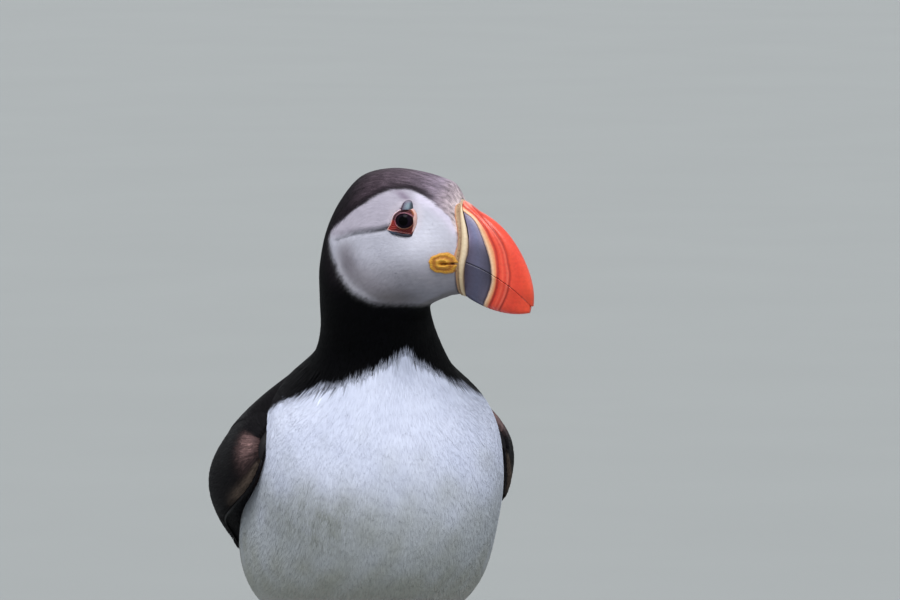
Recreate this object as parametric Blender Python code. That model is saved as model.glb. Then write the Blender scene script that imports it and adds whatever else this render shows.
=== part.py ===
"""Atlantic puffin, life size, standing on its webbed feet with its head turned to its left.

The floor is z = 0 and the breast faces -Y, so +X is the bird's left. The trunk, neck and head are one
lofted form parted by thin cuts; wings, tail, thighs, legs, bill and eyes are set against it.
Sizes are in millimetres and become metres where a mesh is made.
"""

import math

import bpy
import numpy as np

MM = 0.001
GAP = 0.3  # clearance between pieces that touch
SHEATH = 0.45  # how far the pieces set against the body stand off its faceted form
ORIGIN = np.array([0.0, 17.4, 0.0])  # the middle of the bird's footprint, taken as the file's origin

# ---- driving dimensions -------------------------------------------------------------------------
NECK_AXIS_FORWARD = 35.0  # the head turns about a vertical line this far in front of the origin
HEAD_CENTRE_HEIGHT = 188.0
HEAD_TURN = 49.0  # degrees to the bird's left
ROUND_SEGMENTS = 28  # facets around the neck, and around the form that cuts the pieces beside it
SPLIT_SEGMENTS = 15  # facets around each half where a form is split into back and front

# Stations of the trunk, neck and head, from the tail to the bill. Each has the turn of its middle plane in
# degrees, its dorsal and its ventral point (forward of the neck axis, height), its half width, how far
# down it is widest (0 dorsal, 1 ventral), and the powers of its upper and lower superellipse.
STATIONS = {
    "tail_root": (0, (-104, 45), (-96, 33), 9, 0.50, 2.0, 2.0),
    "rump": (0, (-101, 57), (-80, 29), 22, 0.50, 2.0, 2.1),
    "vent": (0, (-96, 72), (-60, 30), 35, 0.52, 2.0, 2.2),
    "flank": (0, (-90, 88), (-36, 33), 45, 0.54, 2.0, 2.3),
    "belly": (0, (-82, 104), (-11, 41), 48.5, 0.54, 2.0, 2.3),
    "low_breast": (0, (-72, 119), (8, 57), 48.5, 0.53, 2.0, 2.2),
    "breast": (0, (-61, 133), (18, 80), 48, 0.52, 2.0, 2.2),
    "high_breast": (0, (-49, 142), (18, 105), 42.5, 0.52, 2.0, 2.2),
    "collar": (2, (-40, 150.5), (12, 127), 28.5, 0.52, 2.0, 2.1),
    "low_neck": (10, (-34, 160), (7, 143), 24, 0.52, 2.0, 2.0),
    "neck": (25, (-31.5, 171), (8, 153.5), 23.5, 0.53, 2.0, 2.0),
    "nape": (40, (-30, 182.5), (10, 161), 24, 0.55, 2.0, 2.0),
    "high_nape": (HEAD_TURN, (-27.2, 193.8), (12, 163.8), 23.5, 0.57, 2.0, 2.1),
    "hind_crown": (HEAD_TURN, (-21.5, 205.6), (14, 165.3), 22.5, 0.59, 2.0, 2.2),
    "rear_crown": (HEAD_TURN, (-13.2, 214.6), (16, 166.3), 22, 0.60, 2.0, 2.3),
    "crown": (HEAD_TURN, (-2.5, 217.5), (18.3, 167.3), 21.5, 0.60, 2.0, 2.3),
    "eye": (HEAD_TURN, (9.5, 216.8), (20.8, 168.2), 19.8, 0.60, 2.0, 2.3),
    "lores": (HEAD_TURN, (19.7, 214.5), (23.6, 169.2), 16, 0.61, 1.9, 2.2),
    "forehead": (HEAD_TURN, (25.0, 212.4), (25.8, 169.6), 13.3, 0.615, 1.8, 2.1),
    "bill_base": (HEAD_TURN, (27.5, 206.3), (27.5, 170), 10.5, 0.62, 1.7, 2.0),
}
TRUNK_TOP = "low_neck"
NECK_TOP = "nape"

# Half angles of the dark back and crown about the dorsal line, in degrees, at some of the stations.
MANTLE_SPREAD = {"tail_root": 80, "rump": 66, "flank": 60, "breast": 66, "high_breast": 80, "collar": 112,
                 "low_neck": 160}
CROWN_SPREAD = {"nape": 72, "high_nape": 55, "hind_crown": 44, "rear_crown": 37, "crown": 34, "eye": 34,
                "lores": 37, "bill_base": 32}

EYE_CENTRE = (11.6, 16.8, 11.0)  # forward, sideways and up from the head's centre
EYE_RADIUS = 4.4
EYE_FACETS, EYE_LEVELS = 16, 11
EYE_PLATES = {  # outlines from the eye's centre: (forward, up)
    "upper": ((-1.6, 4.9), (0.6, 5.1), (2.7, 4.9), (2.6, 7.0), (1.9, 9.0), (1.0, 10.2), (0.0, 8.6), (-1.0, 6.8)),
    "lower": ((-6.3, -4.3), (-3.0, -5.0), (0.6, -5.4), (4.2, -5.4), (4.3, -6.7), (0.6, -6.9), (-3.0, -6.5)),
}
PLATE_STAND = 0.9
ROSETTE_FORWARD = 25.4

# The bill's outlines as Bezier curves in the head's middle plane: (forward, up) from the head's centre.
CULMEN = ((30.2, 16.3), (44.3, 11.7), (60.0, -6.4), (57.8, -22.0))
TOMIUM = ((33.6, -5.2), (40.0, -7.0), (50.0, -13.2), (56.8, -21.4))
GONYS = ((31.2, -18.6), (37.0, -23.2), (47.0, -26.4), (56.3, -24.4))
BILL_HALF_WIDTH = (9.4, 1.2)  # along the mouth line, at the base and at the tip
CULMEN_HALF_WIDTH = (4.4, 1.0)
BASE_FORWARD = 27.5
BASE_BULGE = 3.0  # how far the bill's base curves forward at mid height
BASE_MIDDLE, BASE_HALF_HEIGHT = 1.0, 21.0
RIM_LENGTH, RIM_STAND = 3.6, 1.0
RIM_TAPER = (12.0, 18.0)  # heights between which the rim shortens towards the forehead, to a quarter

FOOT_SPACING = 21.0  # each foot's distance from the middle
ANKLE_FORWARD = -9.0
TOE_LENGTHS = {"inner": 28.0, "middle": 37.0, "outer": 36.0}
TOE_ANGLES = {"inner": -26.0, "middle": 0.0, "outer": 25.0}
WEB_THICKNESS, TOE_HEIGHT, TOE_HALF_WIDTH = 1.1, 3.4, 1.9
ANKLE_HEIGHT, ANKLE_RADIUS = 5.6, 3.4
THIGH_BOTTOM = 30.0

# Left wing, from wrist to tip: lower edge and upper edge (sideways, forward, height), then how far the
# outside bulges and how deep the inside reaches before the trunk cuts it.
WING_SAG = 0.25  # how much fuller the bulge is below the middle than above it
WING = {
    "front": ((50, 19, 104), (44, 15, 119), 3.0, 3.0),
    "wrist": ((53, 13, 95), (39, 5, 128), 7.5, 9.0),
    "forearm": ((56, 0, 86), (35, -10.5, 131.5), 9.8, 13.0),
    "middle": ((55.5, -18, 78.5), (31, -31, 118), 12.2, 14.0),
    "rear": ((46, -41, 69), (24.5, -49, 97.5), 9.5, 14.0),
    "primaries": ((31, -63, 53), (17, -69, 73.5), 5.5, 9.0),
    "fold": ((18, -83, 40.5), (11, -88, 53), 2.4, 3.0),
    "tip": ((9, -99, 30.5), (7, -100, 34.5), 0.7, 0.7),
}


# ---- curves and meshes --------------------------------------------------------------------------
def through(knots, values, at):
    """Cubic curve through values at knots, with slopes taken from the neighbours on each side."""
    knots, values = np.asarray(knots, float), np.asarray(values, float)
    flat = values.reshape(len(knots), -1)
    slopes = np.gradient(flat, knots, axis=0)
    i = np.clip(np.searchsorted(knots, at, side="right") - 1, 0, len(knots) - 2)
    span = (knots[i + 1] - knots[i])[:, None]
    t = (at - knots[i])[:, None] / span
    out = (
        (2 * t**3 - 3 * t**2 + 1) * flat[i]
        + (t**3 - 2 * t**2 + t) * span * slopes[i]
        + (3 * t**2 - 2 * t**3) * flat[i + 1]
        + (t**3 - t**2) * span * slopes[i + 1]
    )
    return out.reshape((len(at),) + values.shape[1:])


def bezier(points, t):
    """Cubic Bezier curve at the parameters t."""
    p = np.asarray(points, float)
    t = np.asarray(t, float)[:, None]
    return (1 - t) ** 3 * p[0] + 3 * t * (1 - t) ** 2 * p[1] + 3 * t**2 * (1 - t) * p[2] + t**3 * p[3]


def head_point(forward, sideways, up):
    """Row frame position of points given from the head's centre."""
    turn = math.radians(HEAD_TURN)
    forward, sideways, up = np.broadcast_arrays(forward, sideways, up)
    x = forward * math.sin(turn) + sideways * math.cos(turn)
    y = -NECK_AXIS_FORWARD - forward * math.cos(turn) + sideways * math.sin(turn)
    return np.stack([x, y, HEAD_CENTRE_HEIGHT + up], axis=-1)


def material(name, colour, roughness):
    made = bpy.data.materials.new(name)
    made.use_nodes = True
    shader = made.node_tree.nodes["Principled BSDF"]
    shader.inputs["Base Color"].default_value = (*colour, 1.0)
    shader.inputs["Roughness"].default_value = roughness
    return made


def add_mesh(name, points, faces, finish):
    """Object from points in millimetres; its normals are made to point outwards."""
    mesh = bpy.data.meshes.new(name)
    mesh.from_pydata(((np.asarray(points, float).reshape(-1, 3) - ORIGIN) * MM).tolist(), [], faces)
    mesh.materials.append(finish)
    made = bpy.data.objects.new(name, mesh)
    bpy.context.scene.collection.objects.link(made)
    corners = np.array([v.co for v in mesh.vertices])
    mesh.calc_loop_triangles()
    tri = corners[np.array([t.vertices[:] for t in mesh.loop_triangles])]
    if np.einsum("ij,ij->i", tri[:, 0], np.cross(tri[:, 1], tri[:, 2])).sum() < 0:
        mesh.flip_normals()
    mesh.shade_smooth()
    mesh.set_sharp_from_angle(angle=math.radians(50))
    return made


def lofted(name, rings, finish, mirrored_caps=False):
    """Closed skin over rings of points, shape (rings, around, 3). Caps are fans about a middle point, or
    strips between mirrored points where the end isn't flat."""
    count, around = rings.shape[:2]
    points = rings.reshape(-1, 3)
    faces = [
        (r * around + i, r * around + (i + 1) % around, (r + 1) * around + (i + 1) % around, (r + 1) * around + i)
        for r in range(count - 1)
        for i in range(around)
    ]
    for ring, turn_back in ((0, True), (count - 1, False)):
        base = ring * around
        if mirrored_caps:
            half = around // 2
            strips = [
                (base + i, base + i + 1, base + (around - i - 1) % around, base + (around - i) % around)
                for i in range(half)
            ]
            strips = [tuple(dict.fromkeys(face)) for face in strips]
        else:
            middle = len(points)
            points = np.vstack([points, points[base : base + around].mean(0)])
            strips = [(base + i, base + (i + 1) % around, middle) for i in range(around)]
        faces += [face[::-1] if turn_back else face for face in strips]
    return add_mesh(name, points, faces, finish)


def cut_away(target, *cutters):
    """Subtracts each cutter from the target."""
    for cutter in cutters:
        modifier = target.modifiers.new("clear of " + cutter.name, "BOOLEAN")
        modifier.operation = "DIFFERENCE"
        modifier.object = cutter


def as_cutter(made):
    made.hide_render = True
    made.display_type = "WIRE"
    return made


# ---- trunk, neck and head -----------------------------------------------------------------------
class Body:
    """The lofted form of trunk, neck and head."""

    def __init__(self):
        rows = list(STATIONS.values())
        turns = np.radians([row[0] for row in rows])
        heading = np.stack([np.sin(turns), -np.cos(turns), np.zeros(len(rows))], axis=1)
        axis = np.array([0.0, -NECK_AXIS_FORWARD, 0.0])

        def placed(column):
            pairs = np.array([row[column] for row in rows], float)
            return axis + pairs[:, :1] * heading + pairs[:, 1:] * np.array([0.0, 0.0, 1.0])

        self.heading = heading[-1]
        self.dorsal, self.ventral = placed(1), placed(2)
        steps = np.linalg.norm(np.diff(self.dorsal, axis=0), axis=1)
        steps = (steps + np.linalg.norm(np.diff(self.ventral, axis=0), axis=1)) / 2
        self.knots = np.concatenate([[0.0], np.cumsum(steps)])
        self.shape = np.column_stack([turns, np.array([row[3:] for row in rows], float)])

    def knot(self, station):
        return self.knots[list(STATIONS).index(station)]

    def rings(self, at, grow=0.0, angle=None):
        """Rings of points at the given distances along the body, grown outwards by grow. The angles run from
        the dorsal line towards the left, one row for all rings or one row each."""
        dorsal, ventral = through(self.knots, self.dorsal, at), through(self.knots, self.ventral, at)
        turn, half_width, widest, upper, lower = through(self.knots, self.shape, at).T
        left = np.stack([np.cos(turn), np.sin(turn), np.zeros(len(at))], axis=1)
        centre = dorsal + (ventral - dorsal) * widest[:, None]
        if angle is None:
            angle = np.linspace(0, 2 * math.pi, ROUND_SEGMENTS, endpoint=False)[None, :]
        c, s = np.cos(angle), np.sin(angle)
        power = 2.0 / np.where(c >= 0, upper[:, None], lower[:, None])
        rise = np.sign(c) * np.abs(c) ** power
        side = np.sign(s) * np.abs(s) ** power
        tall = ventral - dorsal
        up = -tall / np.linalg.norm(tall, axis=1)[:, None]
        above = np.linalg.norm(dorsal - centre, axis=1)[:, None] + grow
        below = np.linalg.norm(ventral - centre, axis=1)[:, None] + grow
        height = np.where(rise >= 0, above, below) * rise
        width = (half_width[:, None] + grow) * side
        points = centre[:, None] + up[:, None] * height[..., None] + left[:, None] * width[..., None]
        near_bill = np.clip((at - self.knot("lores")) / (self.knots[-1] - self.knot("lores")), 0, 1) ** 2
        swell = (base_forward(points[..., 2] - HEAD_CENTRE_HEIGHT) - BASE_FORWARD) * near_bill[:, None]
        points = points + self.heading * swell[..., None]
        return points, up, np.cross(left, up)

    def face_depth(self, places):
        """How far out the head's side lies at places (forward, up) given from the head's centre."""
        at = np.linspace(self.knot(NECK_TOP), self.knots[-1], 60)
        skin = self.rings(at, angle=np.linspace(0, math.pi, 90)[None, :])[0].reshape(-1, 3)
        turn = math.radians(HEAD_TURN)
        x, y = skin[:, 0], skin[:, 1] + NECK_AXIS_FORWARD
        forward, sideways = x * math.sin(turn) - y * math.cos(turn), x * math.cos(turn) + y * math.sin(turn)
        seen = np.column_stack([forward, skin[:, 2] - HEAD_CENTRE_HEIGHT])
        nearest = np.linalg.norm(places[:, None] - seen[None], axis=2).argsort(axis=1)[:, :4]
        return sideways[nearest].mean(axis=1)

    def piece(self, name, start, end, count, finish, grow=0.0, start_gap=0.0, end_gap=0.0):
        """The stretch between two distances along the body, as a closed solid."""
        rings, _, ahead = self.rings(np.linspace(start, end, count), grow)
        rings[0] += ahead[0] * start_gap
        rings[-1] -= ahead[-1] * end_gap
        return lofted(name, rings, finish, mirrored_caps=True)

    def split(self, names, start, end, count, spread, finishes, start_gap=0.0, end_gap=0.0):
        """The same stretch in two solids: the part within the spread of the dorsal line, and the rest. They
        meet along the flat chord between the spread's two edges."""
        at = np.linspace(start, end, count)
        knots = [self.knot(station) for station in spread]
        half = np.radians(through(knots, list(spread.values()), at))[:, None]
        fan = np.linspace(-1, 1, SPLIT_SEGMENTS)[None, :]
        above = half * fan
        below = math.pi - (math.pi - half) * fan[:, ::-1]
        for name, angle, finish, lift, from_first in zip(
            names, (above, below), finishes, (GAP / 2, -GAP / 2), (False, True)
        ):
            rings, up, ahead = self.rings(at, angle=angle)
            edge = np.zeros((1, SPLIT_SEGMENTS, 1))
            edge[:, (0, -1)] = lift
            rings = rings + up[:, None] * edge
            rings[0] += ahead[0] * start_gap
            rings[-1] -= ahead[-1] * end_gap
            strip_capped(name, rings, finish, from_first)


def base_forward(up):
    """How far forward the bill's base lies at a height, following its bulge."""
    return BASE_FORWARD + BASE_BULGE * (1 - ((up - BASE_MIDDLE) / BASE_HALF_HEIGHT) ** 2)


def rim_length(up):
    """Length of the bill's rim at a height: full below, a quarter at the forehead."""
    return RIM_LENGTH * (1 - 0.75 * np.clip((up - RIM_TAPER[0]) / (RIM_TAPER[1] - RIM_TAPER[0]), 0, 1))


def build_body(finishes):
    body = Body()
    collar, nape, end = body.knot(TRUNK_TOP), body.knot(NECK_TOP), body.knots[-1]
    half = GAP / 2
    body.split(
        ("mantle", "trunk"), 0.0, collar, 19, MANTLE_SPREAD, (finishes["black"], finishes["white"]), end_gap=half
    )
    body.piece("neck", collar, nape, 7, finishes["black"], start_gap=half, end_gap=half)
    body.split(
        ("crown", "head"), nape, end - 0.4, 16, CROWN_SPREAD, (finishes["black"], finishes["grey"]),
        start_gap=half,
    )
    sheath = as_cutter(body.piece("sheath", 0.0, end, 52, finishes["white"], grow=SHEATH, end_gap=-SHEATH))
    return body, bpy.data.objects["head"], sheath


# ---- head fittings ------------------------------------------------------------------------------
def build_eyes(head, finishes):
    """Balls set in the head, each in a slightly larger socket."""
    lat = np.linspace(-0.5, 0.5, EYE_LEVELS)[1:-1] * math.pi
    turn = np.linspace(0, 2 * math.pi, EYE_FACETS, endpoint=False)
    ball = np.stack(
        [np.cos(lat)[:, None] * np.cos(turn), np.cos(lat)[:, None] * np.sin(turn), np.sin(lat)[:, None] + 0 * turn], -1
    )
    for side, name in ((1, "left"), (-1, "right")):
        centre = head_point(EYE_CENTRE[0], side * EYE_CENTRE[1], EYE_CENTRE[2])
        lofted("eye_" + name, centre + ball * EYE_RADIUS, finishes["eye"])
        socket = lofted("socket_" + name, centre + ball * (EYE_RADIUS + GAP), finishes["eye"])
        cut_away(head, as_cutter(socket))


def build_eye_plates(body, sheath, finishes):
    """The horny plates: a small peak above each eye and a bar below it, lying on the face."""
    for side, name in ((1, "left"), (-1, "right")):
        for label, outline in EYE_PLATES.items():
            flat = np.array(outline) + (EYE_CENTRE[0], EYE_CENTRE[2])
            surface = body.face_depth(flat)
            rings = [head_point(flat[:, 0], side * (surface + out), flat[:, 1]) for out in (-2.0, PLATE_STAND)]
            plate = lofted(f"eye_plate_{label}_{name}", np.array(rings), finishes["horn"])
            cut_away(plate, sheath)


def build_rosettes(sheath, finishes):
    """The fleshy fold at each corner of the mouth: a low ribbed dome."""
    ribs, radii = 18, np.linspace(0.0, 1.0, 5)[1:]
    angle = np.linspace(0, 2 * math.pi, ribs, endpoint=False)
    for side, name in ((1, "left"), (-1, "right")):
        rings = []
        for share in np.concatenate([radii[::-1], radii]):
            inside = len(rings) < len(radii)
            wave = 1 + 0.06 * np.cos(6 * angle)
            forward = ROSETTE_FORWARD + 4.3 * share * wave * np.cos(angle)
            up = -5.6 + 3.9 * share * wave * np.sin(angle)
            swell = 2.6 * math.sqrt(max(0.0, 1 - (1.02 * (1 - share)) ** 2)) if inside else 0
            depth = 16.9 + swell if inside else 10.0
            rings.append(head_point(forward, side * (depth - 0.42 * (forward - ROSETTE_FORWARD)), up))
        order = rings[len(radii) - 1 :: -1] + rings[: len(radii) - 1 : -1][:1]
        rosette = lofted("rosette_" + name, np.array(order), finishes["yellow"])
        cut_away(rosette, sheath)


def bill_half_widths(along):
    """Half widths at the mouth line and at the ridge, narrowing from base to tip."""
    mouth = BILL_HALF_WIDTH[1] + (BILL_HALF_WIDTH[0] - BILL_HALF_WIDTH[1]) * (1 - along**1.25)
    ridge = CULMEN_HALF_WIDTH[1] + (CULMEN_HALF_WIDTH[0] - CULMEN_HALF_WIDTH[1]) * (1 - along) ** 0.8
    return mouth, ridge


def mandible_rings(edge, ridge_curve, sink, rows=16, side_points=9, flat=0.94):
    """Rings across a mandible: up one side from the mouth line, over its ridge and down the other side."""
    along = np.linspace(0, 1, rows)
    low, high = bezier(edge, along), bezier(ridge_curve, along)
    mouth, ridge = bill_half_widths(along)
    share = np.concatenate([np.linspace(0, 0.8, side_points - 3), [0.9, 0.97]])
    lateral = (mouth[:, None] + (ridge - mouth)[:, None] * share) * np.sqrt(1 - share**9)
    share, lateral = np.append(share, 1.0), np.column_stack([lateral, np.zeros(rows)])
    middle = low[:, None] + (high - low)[:, None] * share[:, None]
    blend = (1 - along[:, None]) ** 3
    rim_front = base_forward(middle[..., 1]) + rim_length(middle[..., 1])
    forward = middle[..., 0] + blend * (rim_front + GAP - middle[:1, :, 0])
    half = np.stack([forward, lateral * flat, middle[..., 1] + sink], axis=-1)
    other = half[:, -2::-1] * np.array([1.0, -1.0, 1.0])
    ring = np.concatenate([half, other], axis=1)
    return head_point(ring[..., 0], ring[..., 1], ring[..., 2])


def strip_capped(name, rings, finish, from_first=False):
    """Closed skin over rings that run from one edge to its mirror image, with the open side filled. The
    fill's diagonals start at each ring's first edge or at its last, so that two pieces can share them."""
    count, around = rings.shape[:2]
    last = around - 1
    faces = [
        (r * around + i, r * around + i + 1, (r + 1) * around + i + 1, (r + 1) * around + i)
        for r in range(count - 1)
        for i in range(last)
    ]
    for base in range(0, (count - 1) * around, around):
        corners = (base + last, base, base + around, base + around + last)
        start = int(from_first)
        faces += [
            (corners[start], corners[start + 1], corners[start + 2]),
            (corners[start + 2], corners[(start + 3) % 4], corners[start]),
        ]
    for ring, turn_back in ((0, True), (count - 1, False)):
        base = ring * around
        for i in range(around // 2):
            face = tuple(dict.fromkeys((base + i, base + i + 1, base + around - 2 - i, base + around - 1 - i)))
            if len(face) > 2:
                faces.append(face[::-1] if turn_back else face)
    return add_mesh(name, rings.reshape(-1, 3), faces, finish)


def build_bill(body, finishes):
    strip_capped("bill_upper", mandible_rings(TOMIUM, CULMEN, GAP / 2), finishes["red"])
    strip_capped("bill_lower", mandible_rings(TOMIUM, GONYS, -GAP / 2, rows=14, side_points=7), finishes["red"])
    end = body.rings(np.array([body.knots[-1]]))[0][0]
    outward = end - end.mean(0)
    outward /= np.linalg.norm(outward, axis=1)[:, None]
    length = rim_length(end[:, 2:] - HEAD_CENTRE_HEIGHT)
    steps = ((0.0, 0.2), (0.25, RIM_STAND), (0.7, RIM_STAND), (1.0, 0.0))
    rings = [end + outward * stand + body.heading * (GAP + share * (length - GAP)) for share, stand in steps]
    lofted("bill_rim", np.array(rings), finishes["cream"], mirrored_caps=True)


# ---- wings and tail -----------------------------------------------------------------------------
def build_wing(side, name, sheath, finishes):
    rows = list(WING.values())
    lower, upper = (np.array([row[k] for row in rows], float) for k in (0, 1))
    knots = np.concatenate([[0.0], np.cumsum(np.linalg.norm(np.diff((lower + upper) / 2, axis=0), axis=1))])
    at = np.linspace(0, knots[-1], 18)
    lower, upper = through(knots, lower, at), through(knots, upper, at)
    bulge, depth = through(knots, np.array([row[2:] for row in rows], float), at).T
    path = np.gradient((lower + upper) / 2, at, axis=0)
    out = np.cross(path, upper - lower)
    out /= np.linalg.norm(out, axis=1)[:, None]
    out *= np.sign(out[:, :1])
    v = np.linspace(-1, 1, 9)
    arch = (1 - np.abs(v) ** 2.2)[None, :, None]
    span = lower[:, None] + (upper - lower)[:, None] * ((v + 1) / 2)[None, :, None]
    outer = span + out[:, None] * (bulge[:, None, None] * arch * (1 - WING_SAG * v[None, :, None]))
    inner = span - out[:, None] * (depth[:, None, None] * arch)
    ring = np.concatenate([outer, inner[:, -2:0:-1]], axis=1)
    placed = np.stack([side * ring[..., 0], -ring[..., 1], ring[..., 2]], axis=-1)
    wing = lofted("wing_" + name, placed, finishes["black"])
    cut_away(wing, sheath)
    return wing


def build_tail(sheath, finishes):
    """Short fan of tail feathers: a thin arched blade with a rounded end."""
    along = np.linspace(0, 1, 9)
    root, end = np.array([-58.0, 47.0]), np.array([-107.0, 24.0])
    across = np.linspace(-1, 1, 11)
    width = 12 + 13 * along**0.7
    path = root + (end - root) * along[:, None]
    down = np.array([end[1] - root[1], -(end[0] - root[0])]) / np.linalg.norm(end - root)
    curve = 4.5 * (1 - 0.4 * along[:, None]) * across[None, :] ** 2
    back = 9.0 * (across[None, :] ** 2) * along[:, None] ** 2
    tangent = (end - root) / np.linalg.norm(end - root)

    def sheet(offset):
        shift = offset - curve
        forward = path[:, None, 0] + down[0] * shift - tangent[0] * back
        height = path[:, None, 1] + down[1] * shift - tangent[1] * back
        return np.stack([np.broadcast_to(width[:, None] * across, shift.shape), -forward, height], axis=-1)

    thick = 2.2 * (1 - 0.55 * along[:, None]) * np.sqrt(np.clip(1.06 - across[None, :] ** 4, 0, 1))
    rings = np.concatenate([sheet(thick), sheet(-thick)[:, ::-1]], axis=1)
    tail = lofted("tail", rings, finishes["black"])
    cut_away(tail, sheath)


# ---- legs and feet ------------------------------------------------------------------------------
def tube(name, centres, radii, finish, around=14):
    """Upright tube: centres (sideways, forward, height) and radii (across, along) for each level."""
    angle = np.linspace(0, 2 * math.pi, around, endpoint=False)
    rings = [
        [(x + a * math.cos(t), -(g + b * math.sin(t)), z) for t in angle]
        for (x, g, z), (a, b) in zip(centres, radii)
    ]
    return lofted(name, np.array(rings), finish)


def build_leg(side, name, sheath, finishes):
    x, g = side * FOOT_SPACING, ANKLE_FORWARD
    levels = np.linspace(0, 1, 6)
    thigh = tube(
        "thigh_" + name,
        [(x * (1 + 0.12 * t), g + 1 + 12 * t, THIGH_BOTTOM + 26 * t) for t in levels],
        [(5.2 + 13 * t**0.6, 5.6 + 15 * t**0.6) for t in levels],
        finishes["white"],
        around=20,
    )
    cut_away(thigh, sheath)
    top, low = THIGH_BOTTOM - GAP, ANKLE_HEIGHT + GAP
    tube(
        "shank_" + name,
        [(x, g + 1.2 * math.sin(math.pi * t), low + (top - low) * t) for t in levels],
        [(2.3 + 1.1 * abs(2 * t - 1) ** 1.5, 3.0 + 1.0 * abs(2 * t - 1) ** 1.5) for t in levels],
        finishes["orange"],
    )
    build_foot(side, name, x, g, finishes)


def foot_reach(bearing):
    """Length of the foot at a bearing: full at each toe, hollowed where the web hangs between two toes."""
    toes = sorted((TOE_ANGLES[t], TOE_LENGTHS[t]) for t in TOE_LENGTHS)
    angles, lengths = zip(*toes)
    reach = np.interp(bearing, angles, lengths)
    gap = np.interp(bearing, angles, (0, 1, 2)) % 1.0
    return reach * (1 - 0.17 * np.sin(math.pi * gap))


def build_foot(side, name, x, g, finishes):
    low, high = min(TOE_ANGLES.values()), max(TOE_ANGLES.values())
    bearing = np.linspace(low - 5, high + 5, 21)
    share = np.linspace(0.0, 1.0, 7)[1:]
    heel = 4.4
    reach = foot_reach(np.clip(bearing, low, high)) * np.where((bearing < low) | (bearing > high), 0.9, 1.0)
    radius = share[:, None] * reach[None, :]
    turn = np.radians(bearing)[None, :]
    top = np.full_like(radius, WEB_THICKNESS)
    for toe, angle in TOE_ANGLES.items():
        off = radius * np.sin(turn - math.radians(angle))
        ahead = radius * np.cos(turn - math.radians(angle))
        ridge = np.exp(-((off / TOE_HALF_WIDTH) ** 2)) * (ahead < TOE_LENGTHS[toe] + 0.1)
        top = np.maximum(top, WEB_THICKNESS + (TOE_HEIGHT - 0.8 * share[:, None] - WEB_THICKNESS) * ridge)
    boss = np.exp(-((radius / 6.0) ** 2))
    top = top + (ANKLE_HEIGHT - 1.4 - top) * boss
    forward, outward = radius * np.cos(turn), side * radius * np.sin(turn)
    upper = np.stack([x + outward, -(g + forward), top], axis=-1)
    lower = upper * np.array([1.0, 1.0, 0.0])
    rows, columns = upper.shape[:2]
    points = np.concatenate([upper.reshape(-1, 3), lower.reshape(-1, 3)])
    apex = len(points)
    points = np.vstack([points, (x, -(g - heel), ANKLE_HEIGHT - 2.6), (x, -(g - heel), 0.0)])
    faces = []
    for layer in (0, rows * columns):
        grid = [
            (layer + r * columns + c, layer + (r + 1) * columns + c, layer + (r + 1) * columns + c + 1,
             layer + r * columns + c + 1)
            for r in range(rows - 1)
            for c in range(columns - 1)
        ]
        tip = apex + (layer > 0)
        grid += [(tip, layer + c, layer + c + 1) for c in range(columns - 1)]
        faces += [face[::-1] for face in grid] if layer else grid
    edge = [apex] + [r * columns for r in range(rows)] + [(rows - 1) * columns + c for c in range(1, columns)]
    edge += [r * columns + columns - 1 for r in range(rows - 2, -1, -1)]
    under = [apex + 1 if i == apex else i + rows * columns for i in edge]
    faces += [
        (edge[i], under[i], under[(i + 1) % len(edge)], edge[(i + 1) % len(edge)]) for i in range(len(edge))
    ]
    foot = add_mesh("foot_" + name, points, faces, finishes["orange"])
    ankle = tube("ankle_" + name, [(x, g, 0.6), (x, g, ANKLE_HEIGHT)], [(ANKLE_RADIUS, 4.2)] * 2, finishes["orange"])
    joined = foot.modifiers.new("ankle", "BOOLEAN")
    joined.operation = "UNION"
    joined.object = as_cutter(ankle)
    for toe, angle in TOE_ANGLES.items():
        build_claw(f"claw_{toe}_{name}", side, x, g, math.radians(angle), TOE_LENGTHS[toe], finishes)


def build_claw(name, side, x, g, turn, toe_length, finishes):
    """Curved tapering claw that starts just past the toe's end."""
    share = np.linspace(0, 1, 5)
    ahead = toe_length + GAP + 5.2 * share
    height = 1.75 + 1.1 * np.sin(math.pi * share * 0.9) - 1.2 * share**2
    radius = 1.25 * (1 - share) ** 0.7 + 0.18
    angle = np.linspace(0, 2 * math.pi, 7, endpoint=False)
    outward = side * ahead[:, None] * math.sin(turn) + radius[:, None] * np.cos(angle) * math.cos(turn)
    forward = ahead[:, None] * math.cos(turn) - side * radius[:, None] * np.cos(angle) * math.sin(turn)
    level = height[:, None] + radius[:, None] * np.sin(angle)
    lofted(name, np.stack([x + outward, -(g + forward), level], axis=-1), finishes["claw"])


# ---- the whole bird -----------------------------------------------------------------------------
def main():
    for old in list(bpy.data.objects):
        bpy.data.objects.remove(old)
    finishes = {
        "white": material("white_plumage", (0.78, 0.78, 0.80), 0.8),
        "black": material("black_plumage", (0.02, 0.018, 0.022), 0.6),
        "grey": material("grey_plumage", (0.52, 0.52, 0.56), 0.8),
        "red": material("red_bill", (0.80, 0.12, 0.04), 0.35),
        "cream": material("cream_skin", (0.72, 0.55, 0.33), 0.5),
        "yellow": material("yellow_skin", (0.80, 0.45, 0.04), 0.5),
        "horn": material("blue_grey_horn", (0.18, 0.21, 0.27), 0.45),
        "eye": material("dark_eye", (0.015, 0.012, 0.02), 0.05),
        "orange": material("orange_leg_skin", (0.80, 0.20, 0.03), 0.45),
        "claw": material("black_claw", (0.02, 0.02, 0.02), 0.35),
    }
    body, head, sheath = build_body(finishes)
    build_eyes(head, finishes)
    build_eye_plates(body, sheath, finishes)
    build_rosettes(sheath, finishes)
    build_bill(body, finishes)
    build_tail(sheath, finishes)
    for side, name in ((1, "left"), (-1, "right")):
        build_wing(side, name, sheath, finishes)
        build_leg(side, name, sheath, finishes)


main()
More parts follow.
